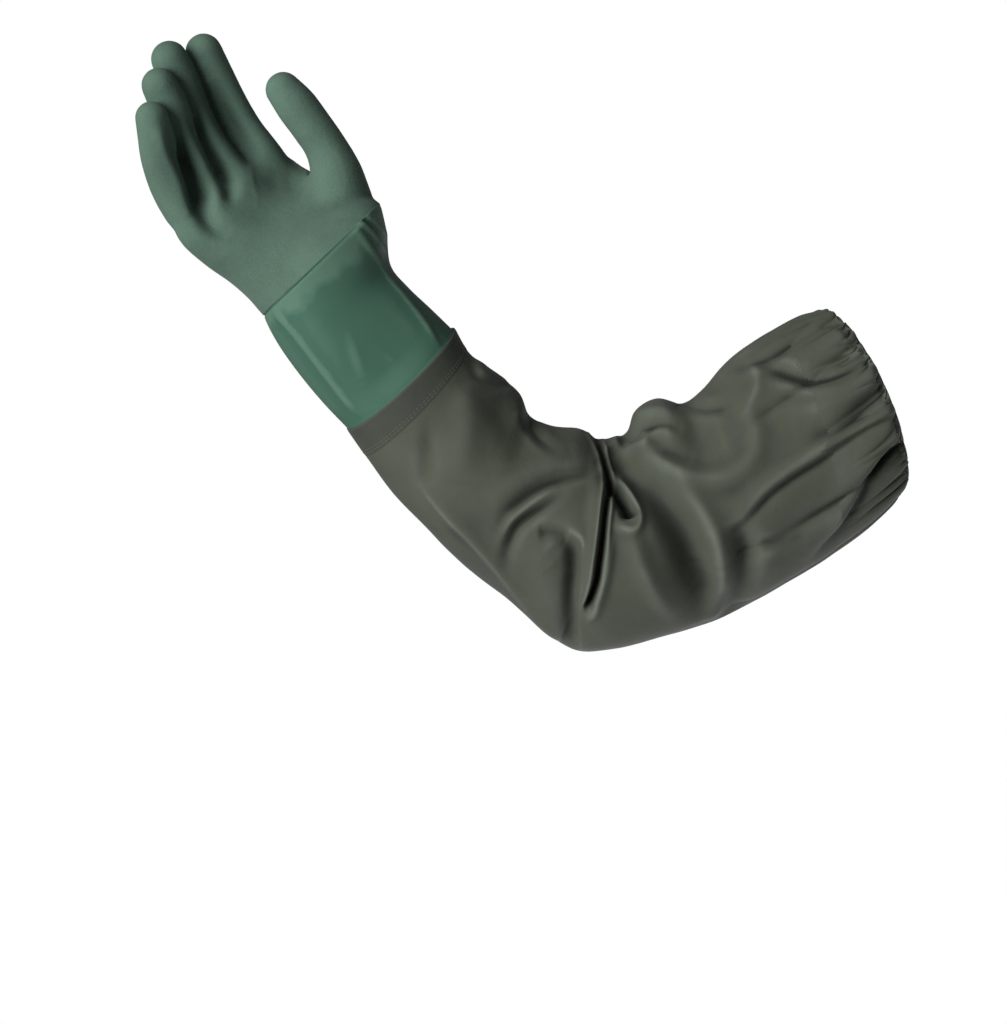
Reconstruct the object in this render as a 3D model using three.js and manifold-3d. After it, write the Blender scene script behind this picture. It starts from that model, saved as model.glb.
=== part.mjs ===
// A long work glove for the right hand: a rough hand with gently curled fingers, a smooth gauntlet, and a
// coated cloth sleeve that is bent at the elbow and gathered at its hem.
// Millimetres. +Z runs along the forearm towards the fingertips, +X out of the arm opening, and -Y is the
// palm side. The origin is the middle of the arm opening.
import * as THREE from "three";
import { mergeVertices } from "three/addons/utils/BufferGeometryUtils.js";
import Module from "manifold-3d";

const wasm = await Module();
wasm.setup();

// Walls, and the clear gaps between pieces that touch
const handWall = 1.8;
const gauntletWall = 1.5;
const clothWall = 1.2;
const bandWall = 1.4;
const tapeWall = 0.9;
const gap = 0.35;
const clothGap = 0.7;

// How finely the walls are divided. The hand, gauntlet and sleeve share their sides, so that facets that lie
// over each other are parallel.
const armSides = 32;
const palmSteps = 7;
const gauntletSteps = 5;
const sleeveSteps = 34;
const digitSides = 12;
const digitSteps = 7;
const tipSteps = 3;
const hemGathers = 28;
const sidesPerGather = 4;

// The laps and bands along the sleeve, in its own steps
const sleeveLapSteps = 2;
const bandSteps = 1.5;
const hemSteps = 2;

// A table's rows as objects, one value for each named column.
function table(columns, rows) {
  return rows.map((row) => Object.fromEntries(columns.map((name, i) => [name, row[i]])));
}

// The sleeve, from its joint with the gauntlet to the hem. Inner is the bend's inner edge and outer is the
// elbow side, both seen from the palm side. Lead is how far the palm side of a section runs ahead to the hem.
const sleeveRows = table(
  ["innerX", "innerZ", "outerX", "outerZ", "front", "back", "lead"],
  [
    [-191.5, 193, -286.5, 179, 45, 45, 9],
    [-193, 176, -286.5, 157, 47, 46, 9],
    [-189.5, 161, -285.5, 129, 49, 48, 8],
    [-184.5, 146, -281.5, 101, 51, 50, 6],
    [-181.5, 133, -277.5, 75, 52, 52, 4],
    [-184, 118, -272, 53, 53, 53, 3],
    [-176, 105, -264.5, 30, 56, 55, 2],
    [-163, 93, -258, 4, 59, 57, 1],
    [-158, 84, -251, -17, 60, 59, 0],
    [-155, 75, -243, -28, 59, 60, 0],
    [-147, 72, -227, -37, 59, 61, 0],
    [-137, 74, -210, -44, 61, 62, 0],
    [-123.5, 80.5, -193, -50, 64, 63, 1],
    [-110, 79.5, -176, -56, 64, 64, 2],
    [-98, 68, -158, -61, 63, 64, 3],
    [-82, 68, -138, -64, 64, 65, 5],
    [-59, 73, -113, -66.5, 65, 66, 7],
    [-31, 74, -83, -69, 65, 66, 9],
    [-6, 71, -50, -68, 64, 65, 10],
    [4, 67.5, -28, -65, 62, 63, 11],
    [10.5, 66.5, -16, -62.5, 59, 60, 11],
  ],
);

// Folds of the sleeve as straight stretches on its palm side (-1) or back (1). A negative depth is inwards.
const foldRows = table(
  ["side", "fromX", "fromZ", "toX", "toZ", "width", "depth"],
  [
    [-1, -160, 68, -177, 46, 8, -9],
    [-1, -177, 46, -196, 24, 9, -8],
    [-1, -196, 24, -226, -4, 10, -6],
    [-1, -213, 24, -244, -22, 6, 4],
    [-1, -156, 52, -169, 24, 8, 4],
    [-1, -168, 20, -168, -46, 12, -5],
    [-1, -141, -3, -158, -50, 11, 4],
    [-1, -172, 80, -216, 80, 7, -4],
    [-1, -190, 90, -240, 96, 10, 3],
    [-1, -197, 116, -214, 96, 10, -4],
    [-1, -266, 160, -262, 80, 7, -3],
    [-1, -114, 76, -146, 52, 12, 5],
    [-1, -48, 56, -78, 44, 8, 4],
    [-1, -44, 56, -18, 26, 7, -4],
    [-1, -36, 31, 6, 19, 7, -4],
    [-1, -8, -26, -92, -13, 11, 5],
    [-1, -92, -13, -128, -34, 12, 4],
    [-1, -8, -46, -70, -58, 10, -5],
    [1, -170, 84, -214, 62, 10, -6],
    [1, -166, 60, -214, 20, 10, -6],
    [1, -150, 40, -176, -20, 11, -5],
    [1, -112, 40, -130, -26, 12, 4],
    [1, -60, 44, -92, -10, 12, -4],
    [1, -200, 130, -240, 110, 12, -4],
    [1, -190, 104, -240, 84, 10, 4],
  ],
);

// The gauntlet, from the hand down to the sleeve. Ridge is the height of its two pressed lengthwise ridges.
const gauntletRows = table(
  ["innerX", "innerZ", "outerX", "outerZ", "front", "back", "lead", "ridge"],
  [
    [-184.5, 286.5, -288.5, 270.5, 45, 46, 4, 0],
    [-192, 269, -290.5, 260, 44, 45, 5, 2.5],
    [-202, 250, -291.5, 245, 44, 45, 6, 2.5],
    [-201, 232, -291, 222, 44, 45, 8, 2.5],
    [-197, 212, -289, 200, 43, 44, 9, 1.5],
    [-193.5, 194, -286, 180.5, 43, 43, 9, 0],
  ],
);
const ridgeAngles = [-48, -132];
const ridgeSpread = 11;
const ridgeFull = 2.5;
const facetDrop = 3;

// The palm from the wrist to the finger roots: the middle of each section, its half width and half thickness,
// the turn of its width about Z, the rise of its thumb side, its lead, and the depth of the palm's hollow.
const palmRows = table(
  ["x", "y", "z", "half", "thick", "turn", "rise", "lead", "hollow"],
  [
    [-236.6, 0, 278.9, 52.4, 45.5, 0, 8, 4, 0],
    [-239.5, 0, 291, 51, 39, 8, 6, 3, 1],
    [-246, 1, 304, 49.5, 32, 18, 4, 2, 3],
    [-252.5, 1, 320, 52, 26, 27, 3, 1, 5],
    [-258, 0, 336, 52.5, 22, 31, 2, 0, 5],
    [-259.5, 0, 348, 50.5, 17.5, 32, 1, 0, 3],
    [-260, 0, 357, 44, 9, 32, 0, 0, 0],
  ],
);

// Each digit from its root in the palm to the middle of its round tip.
const digitColumns = ["x", "y", "z", "radius"];
const digits = {
  littleFinger: table(digitColumns, [
    [-286, -17, 331, 13],
    [-291.5, -19, 350, 12.6],
    [-290, -22, 370, 12.6],
    [-284.5, -27, 388, 12.4],
    [-278, -33, 401, 11.8],
    [-273.5, -37, 411, 10.8],
  ]),
  ringFinger: table(digitColumns, [
    [-271, -7, 328, 13.8],
    [-275, -6, 352, 13],
    [-271.5, -8, 376, 13],
    [-265.5, -13, 398, 12.8],
    [-260.5, -18, 415, 12.4],
    [-258, -22, 428, 11.6],
  ]),
  middleFinger: table(digitColumns, [
    [-250, 6, 330, 13.8],
    [-253, 8, 356, 13.2],
    [-254, 7, 380, 13.2],
    [-251, 3, 404, 13],
    [-246.5, -2, 424, 12.8],
    [-243, -6, 441, 12.2],
  ]),
  indexFinger: table(digitColumns, [
    [-231, 16, 328, 14],
    [-229.5, 19, 354, 13.4],
    [-230.5, 19, 378, 13.2],
    [-229, 17, 398, 13.2],
    [-225.5, 13, 418, 12.8],
    [-222, 9, 435, 12.2],
  ]),
  thumb: table(digitColumns, [
    [-208, 5, 298, 22],
    [-203.5, 3, 307, 21],
    [-197, 0, 320, 17.5],
    [-193, -3, 336, 14.2],
    [-192.5, -6, 352, 13.6],
    [-193, -8, 369, 13.6],
    [-194, -9, 382, 11.8],
  ]),
};

// The seam tape's place, counted in the sleeve's own sides and steps
const tapeSides = { from: 11, to: 13 };
const tapeSteps = { from: 2, to: 31 };

// Smooth curves through a table's columns, two at a time, read at a fraction of the table's length.
function curveOf(rows, first, second) {
  return new THREE.SplineCurve(rows.map((row) => new THREE.Vector2(row[first], row[second])));
}

function tubeOf(rows) {
  return {
    inner: curveOf(rows, "innerX", "innerZ"),
    outer: curveOf(rows, "outerX", "outerZ"),
    depth: curveOf(rows, "front", "back"),
    lead: curveOf(rows, "lead", "lead"),
  };
}

const sleeveTube = tubeOf(sleeveRows);
const gauntletTube = tubeOf(gauntletRows);
const gauntletRidge = curveOf(gauntletRows, "ridge", "ridge");

// A tube's smooth oval section: the point at a fraction of its length and an angle round it. 0 is the inner
// edge, 90 degrees the back and -90 the palm side. Height moves the point off the wall.
function ovalPoint(tube, along, angle, height = 0) {
  const inner = tube.inner.getPoint(along);
  const outer = tube.outer.getPoint(along);
  const depth = tube.depth.getPoint(along);
  const across = inner.clone().sub(outer);
  const half = across.length() / 2;
  across.normalize();
  const middle = inner.clone().add(outer).multiplyScalar(0.5);
  const through = Math.sin(angle);
  const side = through < 0 ? depth.x : depth.y;
  const ahead = -through * tube.lead.getPoint(along).x;
  const reach = (half + height) * Math.cos(angle);
  return new THREE.Vector3(
    middle.x + across.x * reach + across.y * ahead,
    through * (side + height),
    middle.y + across.y * reach - across.x * ahead,
  );
}

function distanceToStretch(point, fold) {
  const from = new THREE.Vector3(fold.fromX, 0, fold.fromZ);
  const to = new THREE.Vector3(fold.toX, 0, fold.toZ);
  const flat = new THREE.Vector3(point.x, 0, point.z);
  const nearest = new THREE.Line3(from, to).closestPointToPoint(flat, true, new THREE.Vector3());
  return nearest.distanceTo(flat);
}

// How far the folds move the wall at a point, fading towards the tube's inner and outer edges.
function foldHeight(point, angle) {
  const facing = Math.sin(angle);
  let height = 0;
  for (const fold of foldRows) {
    const share = Math.max(0, facing * fold.side);
    const distance = distanceToStretch(point, fold);
    height += fold.depth * Math.sqrt(share) * Math.exp(-((distance / fold.width) ** 2));
  }
  return height;
}

// The folds fade out towards both ends of the sleeve, which are held round.
const foldFade = { none: 0.058, full: 0.13 };

function sleevePoint(along, angle, height = 0) {
  const plain = ovalPoint(sleeveTube, along, angle);
  const fade = THREE.MathUtils.smoothstep(Math.min(along, 1 - along), foldFade.none, foldFade.full);
  return ovalPoint(sleeveTube, along, angle, height + fade * foldHeight(plain, angle));
}

function gauntletPoint(along, angle, height = 0) {
  const ridge = gauntletRidge.getPoint(along).x;
  const degrees = THREE.MathUtils.radToDeg(angle);
  let raised = 0;
  for (const place of ridgeAngles) {
    raised += ridge * Math.exp(-(((degrees - place) / ridgeSpread) ** 2));
  }
  const [first, last] = ridgeAngles;
  if (degrees < first && degrees > last) {
    const share = (degrees - last) / (first - last);
    raised -= facetDrop * (ridge / ridgeFull) * Math.sin(Math.PI * share) ** 2;
  }
  return ovalPoint(gauntletTube, along, angle, height + raised);
}

const palmCurves = {
  place: new THREE.CatmullRomCurve3(palmRows.map(({ x, y, z }) => new THREE.Vector3(x, y, z))),
  size: curveOf(palmRows, "half", "thick"),
  slope: curveOf(palmRows, "turn", "rise"),
  front: curveOf(palmRows, "lead", "hollow"),
};

// The hollow of the palm is widest at its middle and gone at the edges of the hand.
const hollowSpread = 38;

function palmPoint(along, angle, height = 0) {
  const middle = palmCurves.place.getPoint(along);
  const size = palmCurves.size.getPoint(along);
  const slope = palmCurves.slope.getPoint(along);
  const front = palmCurves.front.getPoint(along);
  const across = Math.cos(angle);
  const through = Math.sin(angle);
  const degrees = THREE.MathUtils.radToDeg(angle);
  const hollow = front.y * Math.exp(-(((degrees + 90) / hollowSpread) ** 2));
  const turn = THREE.MathUtils.degToRad(slope.x);
  const point = new THREE.Vector3(
    (size.x + height) * across,
    (size.y + height - hollow) * through,
    slope.y * across + front.x * through,
  );
  return point.applyAxisAngle(new THREE.Vector3(0, 0, 1), turn).add(middle);
}

// A wall round the arm: a ring turned from a closed profile and laid onto the surfaces that its points name,
// at their place along the arm and their height off the surface.
function wrappedWall(profile, sides) {
  const ring = profile.map((_, i) => {
    const turn = (i / profile.length) * 2 * Math.PI;
    return new THREE.Vector2(2 - Math.cos(turn), Math.sin(turn));
  });
  ring.push(ring[0].clone());
  const geometry = new THREE.LatheGeometry(ring, sides);
  const position = geometry.getAttribute("position");
  for (let i = 0; i < position.count; i++) {
    const { surface, along, height } = profile[(i % ring.length) % profile.length];
    const step = Math.floor(i / ring.length) % sides;
    const angle = Math.PI - (step / sides) * 2 * Math.PI;
    const place = surface(along, angle, typeof height === "function" ? height(angle) : height);
    position.setXYZ(i, place.x, place.y, place.z);
  }
  return geometry;
}

// Steps along a surface at one height, for one side of a wall.
function run(surface, from, to, steps, height) {
  return Array.from({ length: steps + 1 }, (_, i) => ({
    surface,
    along: from + ((to - from) * i) / steps,
    height,
  }));
}

// A closed digit or palm: a solid of revolution whose rings are laid onto its own sections. Levels run from
// one end to the other, and share is the part of the radius that a level has.
function cappedLoft(levels, sides, pointAt) {
  const outline = levels.map(({ share }, i) => new THREE.Vector2(share, i));
  const geometry = new THREE.LatheGeometry(outline, sides);
  const position = geometry.getAttribute("position");
  for (let i = 0; i < position.count; i++) {
    const level = levels[i % levels.length];
    const angle = ((Math.floor(i / levels.length) % sides) / sides) * 2 * Math.PI - Math.PI;
    const place = pointAt(level, angle);
    position.setXYZ(i, place.x, place.y, place.z);
  }
  return geometry;
}

// A digit's width lies along the row of knuckles.
const knuckleRow = new THREE.Vector3(0.85, 0.53, 0);

function digitGeometry(rows, inset) {
  const path = new THREE.CatmullRomCurve3(rows.map(({ x, y, z }) => new THREE.Vector3(x, y, z)));
  const radii = curveOf(rows, "radius", "radius");
  const levels = [{ share: 0, along: 0, dome: 0 }];
  for (let i = 0; i <= digitSteps; i++) levels.push({ share: 1, along: i / digitSteps, dome: 0 });
  for (let i = 1; i <= tipSteps; i++) {
    const dome = (i / tipSteps) * (Math.PI / 2);
    levels.push({ share: i === tipSteps ? 0 : Math.cos(dome), along: 1, dome });
  }
  return cappedLoft(levels, digitSides, ({ share, along, dome }, angle) => {
    const radius = radii.getPoint(along).x - inset;
    const ahead = path.getTangent(along);
    const back = new THREE.Vector3().crossVectors(ahead, knuckleRow).normalize();
    const across = new THREE.Vector3().crossVectors(back, ahead);
    return path
      .getPoint(along)
      .addScaledVector(ahead, radius * Math.sin(dome))
      .addScaledVector(across, radius * share * Math.cos(angle))
      .addScaledVector(back, radius * share * Math.sin(angle));
  });
}

// Below is how far the palm's solid reaches past the wrist's edge.
function palmGeometry(inset, below) {
  const levels = [{ share: 0, along: 0, below }];
  if (below > 0) levels.push({ share: 1, along: 0, below });
  for (let i = 0; i <= palmSteps; i++) levels.push({ share: 1, along: i / palmSteps, below: 0 });
  levels.push({ share: 0, along: 1, below: 0 });
  return cappedLoft(levels, armSides, ({ share, along, below: drop }, angle) => {
    const edge = palmPoint(along, angle, -inset);
    const middle = palmCurves.place.getPoint(along);
    return middle.lerp(edge, share).add(new THREE.Vector3(0, 0, -drop));
  });
}

function solidOf(geometry) {
  const bare = geometry.clone();
  bare.deleteAttribute("normal");
  bare.deleteAttribute("uv");
  const merged = mergeVertices(bare, 1e-3);
  return new wasm.Manifold(
    new wasm.Mesh({
      numProp: 3,
      vertProperties: merged.attributes.position.array,
      triVerts: new Uint32Array(merged.index.array),
    }),
  );
}

function geometryOf(solid) {
  const mesh = solid.getMesh();
  const geometry = new THREE.BufferGeometry();
  geometry.setAttribute("position", new THREE.BufferAttribute(mesh.vertProperties, 3));
  geometry.setIndex(new THREE.BufferAttribute(mesh.triVerts, 1));
  geometry.computeVertexNormals();
  return geometry;
}

// The hand: palm and digits joined, less the same forms a wall smaller, which leaves it open at the wrist.
const cavityOverrun = 6;

function handGeometry() {
  let outside = solidOf(palmGeometry(0, 0));
  let inside = solidOf(palmGeometry(handWall, cavityOverrun));
  for (const rows of Object.values(digits)) {
    outside = outside.add(solidOf(digitGeometry(rows, 0)));
    inside = inside.add(solidOf(digitGeometry(rows, handWall)));
  }
  return geometryOf(outside.subtract(inside));
}

// The gauntlet runs on inside the wrist of the hand and inside the top of the sleeve. A small part of its run
// is left clear at each of its ends, and its inside steps in a little below the step of its outside.
const edgeGapAlong = 0.012;
const innerStepAlong = 0.07;

function gauntletGeometry() {
  const wristInset = -(handWall + gap);
  const sleeveInset = -(clothWall + clothGap);
  const side = (start, wall) => [
    { surface: palmPoint, along: 1 / palmSteps, height: wristInset - wall },
    { surface: gauntletPoint, along: start, height: wristInset - wall },
    ...run(gauntletPoint, start, 1 - edgeGapAlong, gauntletSteps, -wall),
    ...run(sleevePoint, 0, sleeveLapSteps / sleeveSteps, sleeveLapSteps, sleeveInset - wall),
  ];
  const outside = side(edgeGapAlong, 0);
  const inside = side(innerStepAlong, gauntletWall).reverse();
  return wrappedWall([...outside, ...inside], armSides);
}

function sleeveGeometry() {
  const outside = run(sleevePoint, 0, 1, sleeveSteps, 0);
  const inside = run(sleevePoint, 1, 0, sleeveSteps, -clothWall);
  return wrappedWall([...outside, ...inside], armSides);
}

function bandGeometry() {
  const steps = Math.ceil(bandSteps);
  const outside = run(sleevePoint, 0, bandSteps / sleeveSteps, steps, clothGap + bandWall);
  const inside = run(sleevePoint, bandSteps / sleeveSteps, 0, steps, clothGap);
  return wrappedWall([...outside, ...inside], armSides);
}

// The hem casing swells between its seam and its free edge, and its gathers are ripples round it.
const hemSwell = 2;
const gatherDepth = 0.9;

function hemGeometry() {
  const ripple = (angle) => gatherDepth * Math.cos(angle * hemGathers);
  const start = 1 - hemSteps / sleeveSteps;
  const outside = run(sleevePoint, start, 1, hemSteps, 0).map((point, i) => {
    const swell = hemSwell * Math.sin((Math.PI * (i + 1)) / (hemSteps + 2));
    return { ...point, height: (angle) => clothGap + clothWall + swell + ripple(angle) };
  });
  const inside = run(sleevePoint, 1, start, hemSteps, clothGap);
  return wrappedWall([...outside, ...inside], hemGathers * sidesPerGather);
}

// The seam tape: a flat strip, laid along the back of the sleeve.
function tapeGeometry() {
  const width = tapeSides.to - tapeSides.from;
  const length = tapeSteps.to - tapeSteps.from;
  const geometry = new THREE.BoxGeometry(1, 1, 1, width, length, 1);
  const position = geometry.getAttribute("position");
  for (let i = 0; i < position.count; i++) {
    const side = tapeSides.from + width * (0.5 + position.getX(i));
    const angle = (side / armSides) * 2 * Math.PI;
    const along = (tapeSteps.from + length * (0.5 - position.getY(i))) / sleeveSteps;
    const height = clothGap + tapeWall * (position.getZ(i) + 0.5);
    const place = sleevePoint(along, angle, height);
    position.setXYZ(i, place.x, place.y, place.z);
  }
  return geometry;
}

const group = new THREE.Group();

function addPiece(name, geometry, color, roughness) {
  const material = new THREE.MeshStandardMaterial({ color, roughness, metalness: 0 });
  const mesh = new THREE.Mesh(geometry, material);
  mesh.name = name;
  group.add(mesh);
}

addPiece("hand", handGeometry(), "#4b6b58", 0.85);
addPiece("gauntlet", gauntletGeometry(), "#35634f", 0.25);
addPiece("joint_band", bandGeometry(), "#55564f", 0.65);
addPiece("sleeve", sleeveGeometry(), "#4d4f45", 0.6);
addPiece("seam_tape", tapeGeometry(), "#33332f", 0.8);
addPiece("hem_casing", hemGeometry(), "#45463d", 0.6);

export default group;
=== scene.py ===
"""Looks of a long work glove for the right hand: a sandy dipped hand, a glossy gauntlet and a cloth sleeve.

Metres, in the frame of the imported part: +Z along the forearm to the fingertips, +X out of the arm opening,
and -Y the palm side. Tables of sections and folds are in millimetres.
"""
import logging
import math
from collections.abc import Callable
from dataclasses import dataclass
from enum import Enum
from typing import Any, NamedTuple

import bmesh
import bpy
import numpy as np
from mathutils import Matrix, Vector, noise


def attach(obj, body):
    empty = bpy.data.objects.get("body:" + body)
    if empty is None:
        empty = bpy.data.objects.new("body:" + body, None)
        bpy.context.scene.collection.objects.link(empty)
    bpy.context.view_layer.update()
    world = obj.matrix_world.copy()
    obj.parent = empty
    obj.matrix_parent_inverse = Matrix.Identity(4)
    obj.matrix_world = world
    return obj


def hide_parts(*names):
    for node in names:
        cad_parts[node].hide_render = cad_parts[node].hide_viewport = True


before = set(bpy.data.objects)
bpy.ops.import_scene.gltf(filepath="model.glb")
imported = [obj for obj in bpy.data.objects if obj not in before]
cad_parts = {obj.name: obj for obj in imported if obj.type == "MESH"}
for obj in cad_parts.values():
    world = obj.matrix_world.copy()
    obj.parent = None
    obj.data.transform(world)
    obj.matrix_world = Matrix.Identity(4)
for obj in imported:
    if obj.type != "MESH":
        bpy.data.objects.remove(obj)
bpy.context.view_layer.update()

LOG = logging.getLogger("long_glove")
MM = 0.001
TURN = 2 * math.pi
BODY = "root"
MERGE_DISTANCE = 0.002 * MM

Surface = Callable[[np.ndarray, np.ndarray], np.ndarray]
Colour = tuple[float, float, float]


def smooth_rows(rows: np.ndarray, at: np.ndarray) -> np.ndarray:
    """Reads a table as one smooth curve through its rows.

    Args:
        rows: one row of numbers for each station.
        at: fractions of the table's length, from 0 to 1.

    Returns:
        One row for each fraction.
    """
    last = len(rows) - 1
    place = np.clip(at, 0, 1) * last
    start = np.minimum(place.astype(int), last - 1)
    share = (place - start)[:, None]
    before, first, second, after = (rows[np.clip(start + step, 0, last)] for step in (-1, 0, 1, 2))
    leaving = (second - before) / 2
    arriving = (after - first) / 2
    bend = 3 * (second - first) - 2 * leaving - arriving
    twist = 2 * (first - second) + leaving + arriving
    return first + share * leaving + share**2 * bend + share**3 * twist


def eased(value: np.ndarray, low: float, high: float) -> np.ndarray:
    """Rises smoothly from 0 at low to 1 at high."""
    share = np.clip((value - low) / (high - low), 0, 1)
    return share * share * (3 - 2 * share)


def undulation(places: np.ndarray, scale: float, seed: float) -> np.ndarray:
    """Gives gentle unevenness between about -1 and 1.

    Args:
        places: one place for each point.
        scale: waves for each metre.
        seed: shifts the pattern, so that two pieces differ.

    Returns:
        One number for each place.
    """
    shift = Vector((seed, 2 * seed, -seed))
    return np.array([noise.noise(Vector(place) * scale + shift) for place in places])


LIP_RISE, LIP_PLACE = 0.35, 2.1
STEP_RISE, STEP_SINK = 0.5, 0.3
STEP_REACH, STEP_SHARPNESS = 3, 2.2
ROUTE_STATIONS = 28
ROUNDED_END = 0.35


def sharp_rise(across: np.ndarray, rounding: float = 0.2) -> np.ndarray:
    """Gives a rise with a narrow top, which falls away on both sides.

    Args:
        across: distance from its line, in widths.
        rounding: how far from the line its top is rounded.

    Returns:
        Heights up to 1.
    """
    return np.exp(rounding - np.sqrt(across**2 + rounding**2))


class FoldShape(Enum):
    """How a fold looks in section, across its line."""

    VALLEY = "a soft hollow"
    RIDGE = "a soft rise"
    CREASE = "a sharp groove between soft lips"
    PLEAT = "a sharp rise"
    TUCK = "a step, high on the left of the line and low on its right"

    def profile(self, across: np.ndarray) -> np.ndarray:
        """Gives the section of a fold.

        Args:
            across: distance to the left of the line, in widths.

        Returns:
            Heights for a depth of 1.
        """
        soft = np.exp(-(across**2))
        if self is FoldShape.VALLEY:
            return -soft
        if self is FoldShape.RIDGE:
            return soft
        if self is FoldShape.PLEAT:
            return sharp_rise(across)
        if self is FoldShape.CREASE:
            return LIP_RISE * np.exp(-((np.abs(across) - LIP_PLACE) ** 2)) - sharp_rise(across)
        side = np.tanh(STEP_SHARPNESS * across)
        high = np.exp(-((across / STEP_REACH) ** 2))
        return STEP_RISE * (1 + side) * high - STEP_SINK * (1 - side) * soft


VALLEY, RIDGE, CREASE, PLEAT, TUCK = FoldShape


@dataclass(frozen=True)
class Fold:
    """A fold drawn across a surface, as its line shows from the palm side.

    Width and depth are in millimetres, and route is a list of (x, z) in millimetres. Ends are the shares of
    the route over which the fold fades in and out.
    """

    shape: FoldShape
    width: float
    depth: float
    route: tuple[tuple[float, float], ...]
    ends: tuple[float, float] = (0.2, 0.2)

    def height(self, places: np.ndarray) -> np.ndarray:
        """Gives the fold's height at places on a surface.

        Args:
            places: one (x, y, z) row for each point.

        Returns:
            Heights in metres.
        """
        line = smooth_rows(np.array(self.route) * MM, np.linspace(0, 1, ROUTE_STATIONS))
        spans = np.diff(line, axis=0)
        offset = places[:, None, [0, 2]] - line[None, :-1]
        share = np.clip((offset * spans).sum(2) / (spans**2).sum(1), 0, 1)
        aside = offset - share[..., None] * spans
        distance = np.hypot(aside[..., 0], aside[..., 1])
        nearest = distance.argmin(1)
        row = np.arange(len(places))
        left = spans[nearest, 0] * aside[row, nearest, 1] - spans[nearest, 1] * aside[row, nearest, 0]
        across = distance[row, nearest] * np.sign(left) / (self.width * MM)
        passed = (nearest + share[row, nearest]) / len(spans)
        fade = np.ones(len(places))
        rounding = 0 if self.shape is TUCK else ROUNDED_END
        for gone, length in zip((passed, 1 - passed), self.ends):
            if length > 0:
                fade *= eased(gone, -rounding * length, length)
        return self.depth * MM * fade * self.shape.profile(across)


def fold_heights(folds: tuple[Fold, ...], places: np.ndarray, facing: np.ndarray) -> np.ndarray:
    """Adds up the folds on one side of a piece.

    Args:
        folds: the folds of that side.
        places: one (x, y, z) row for each point.
        facing: how far each point faces that side, from 0 to 1.

    Returns:
        Heights in metres.
    """
    total = np.zeros(len(places))
    seen = facing > 0
    for fold in folds:
        total[seen] += fold.height(places[seen])
    return total * np.sqrt(np.clip(facing, 0, 1))


class Section(NamedTuple):
    """A section of an arm tube.

    Inner and outer are its edges as they show from the palm side. Front and back are its depth each way from
    them, and lead is how far its palm side runs ahead.
    """

    inner_x: float
    inner_z: float
    outer_x: float
    outer_z: float
    front: float
    back: float
    lead: float


@dataclass(frozen=True)
class ArmTube:
    """A bent oval tube round the arm.

    Angle 0 is its inner edge, 90 degrees the back and -90 degrees the palm side.
    """

    sections: tuple[Section, ...]

    def place(self, along: np.ndarray, angle: np.ndarray, height: np.ndarray | float = 0.0) -> np.ndarray:
        """Gives points on the tube.

        Args:
            along: fractions of the tube's length.
            angle: angles round it, in radians.
            height: how far the points stand off the tube.

        Returns:
            One (x, y, z) row for each point.
        """
        rows = smooth_rows(np.array(self.sections) * MM, along)
        inner, outer = rows[:, 0:2], rows[:, 2:4]
        front, back, lead = rows[:, 4:].T
        span = inner - outer
        half = np.hypot(span[:, 0], span[:, 1]) / 2
        across = span / (2 * half[:, None])
        middle = (inner + outer) / 2
        through = np.sin(angle)
        depth = np.where(through < 0, front, back)
        ahead = -through * lead
        reach = (half + height) * np.cos(angle)
        return np.column_stack([
            middle[:, 0] + across[:, 0] * reach + across[:, 1] * ahead,
            through * (depth + height),
            middle[:, 1] + across[:, 1] * reach - across[:, 0] * ahead,
        ])


@dataclass(frozen=True)
class Spacing:
    """Where the rows of a grid go, so that more of them lie where the cloth has fine folds."""

    shares: tuple[float, ...] = (0, 1)
    places: tuple[float, ...] = (0, 1)

    def spread(self, share: np.ndarray) -> np.ndarray:
        """Gives the places, from 0 to 1, of rows at even shares."""
        return np.interp(share, self.shares, self.places)


def laid_grid(
    steps: int, sides: int, size: tuple[float, float], lay: Surface,
    lengthwise: Spacing = Spacing(), crosswise: Spacing = Spacing(),
) -> bmesh.types.BMesh:
    """Lays a flat grid onto a surface, merges the edges that meet, and keeps its flat place as a UV map.

    Args:
        steps: faces along the surface.
        sides: faces round it.
        size: the flat length and girth of the cloth, for the UV map.
        lay: gives places for fractions along and turns round, both from 0 to 1.
        lengthwise: where the rows go along the surface.
        crosswise: where the rows go round it.

    Returns:
        The laid mesh.
    """
    shape = bmesh.new()
    bmesh.ops.create_grid(shape, x_segments=steps, y_segments=sides, size=0.5)
    even = np.array([vertex.co for vertex in shape.verts]) + 0.5
    along, turn = lengthwise.spread(even[:, 0]), crosswise.spread(even[:, 1])
    shape.verts.index_update()
    cloth = shape.loops.layers.uv.new("cloth")
    for face in shape.faces:
        for loop in face.loops:
            loop[cloth].uv = (along[loop.vert.index] * size[0], turn[loop.vert.index] * size[1])
    for vertex, place in zip(shape.verts, lay(along, turn)):
        vertex.co = place
    bmesh.ops.remove_doubles(shape, verts=shape.verts, dist=MERGE_DISTANCE)
    return shape


def softened(
    shape: bmesh.types.BMesh, rounds: int, factor: float = 0.5,
    where: list[bmesh.types.BMVert] | None = None,
) -> None:
    """Eases the corners of a shape by moving each vertex towards its neighbours.

    Args:
        shape: the mesh to change.
        rounds: how often it is done.
        factor: the share of the way that a vertex moves each time.
        where: the vertices to move, or all of them.
    """
    spots = where or shape.verts[:]
    every_way = {"use_axis_x": True, "use_axis_y": True, "use_axis_z": True}
    for _ in range(rounds):
        bmesh.ops.smooth_vert(shape, verts=spots, factor=factor, **every_way)


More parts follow.
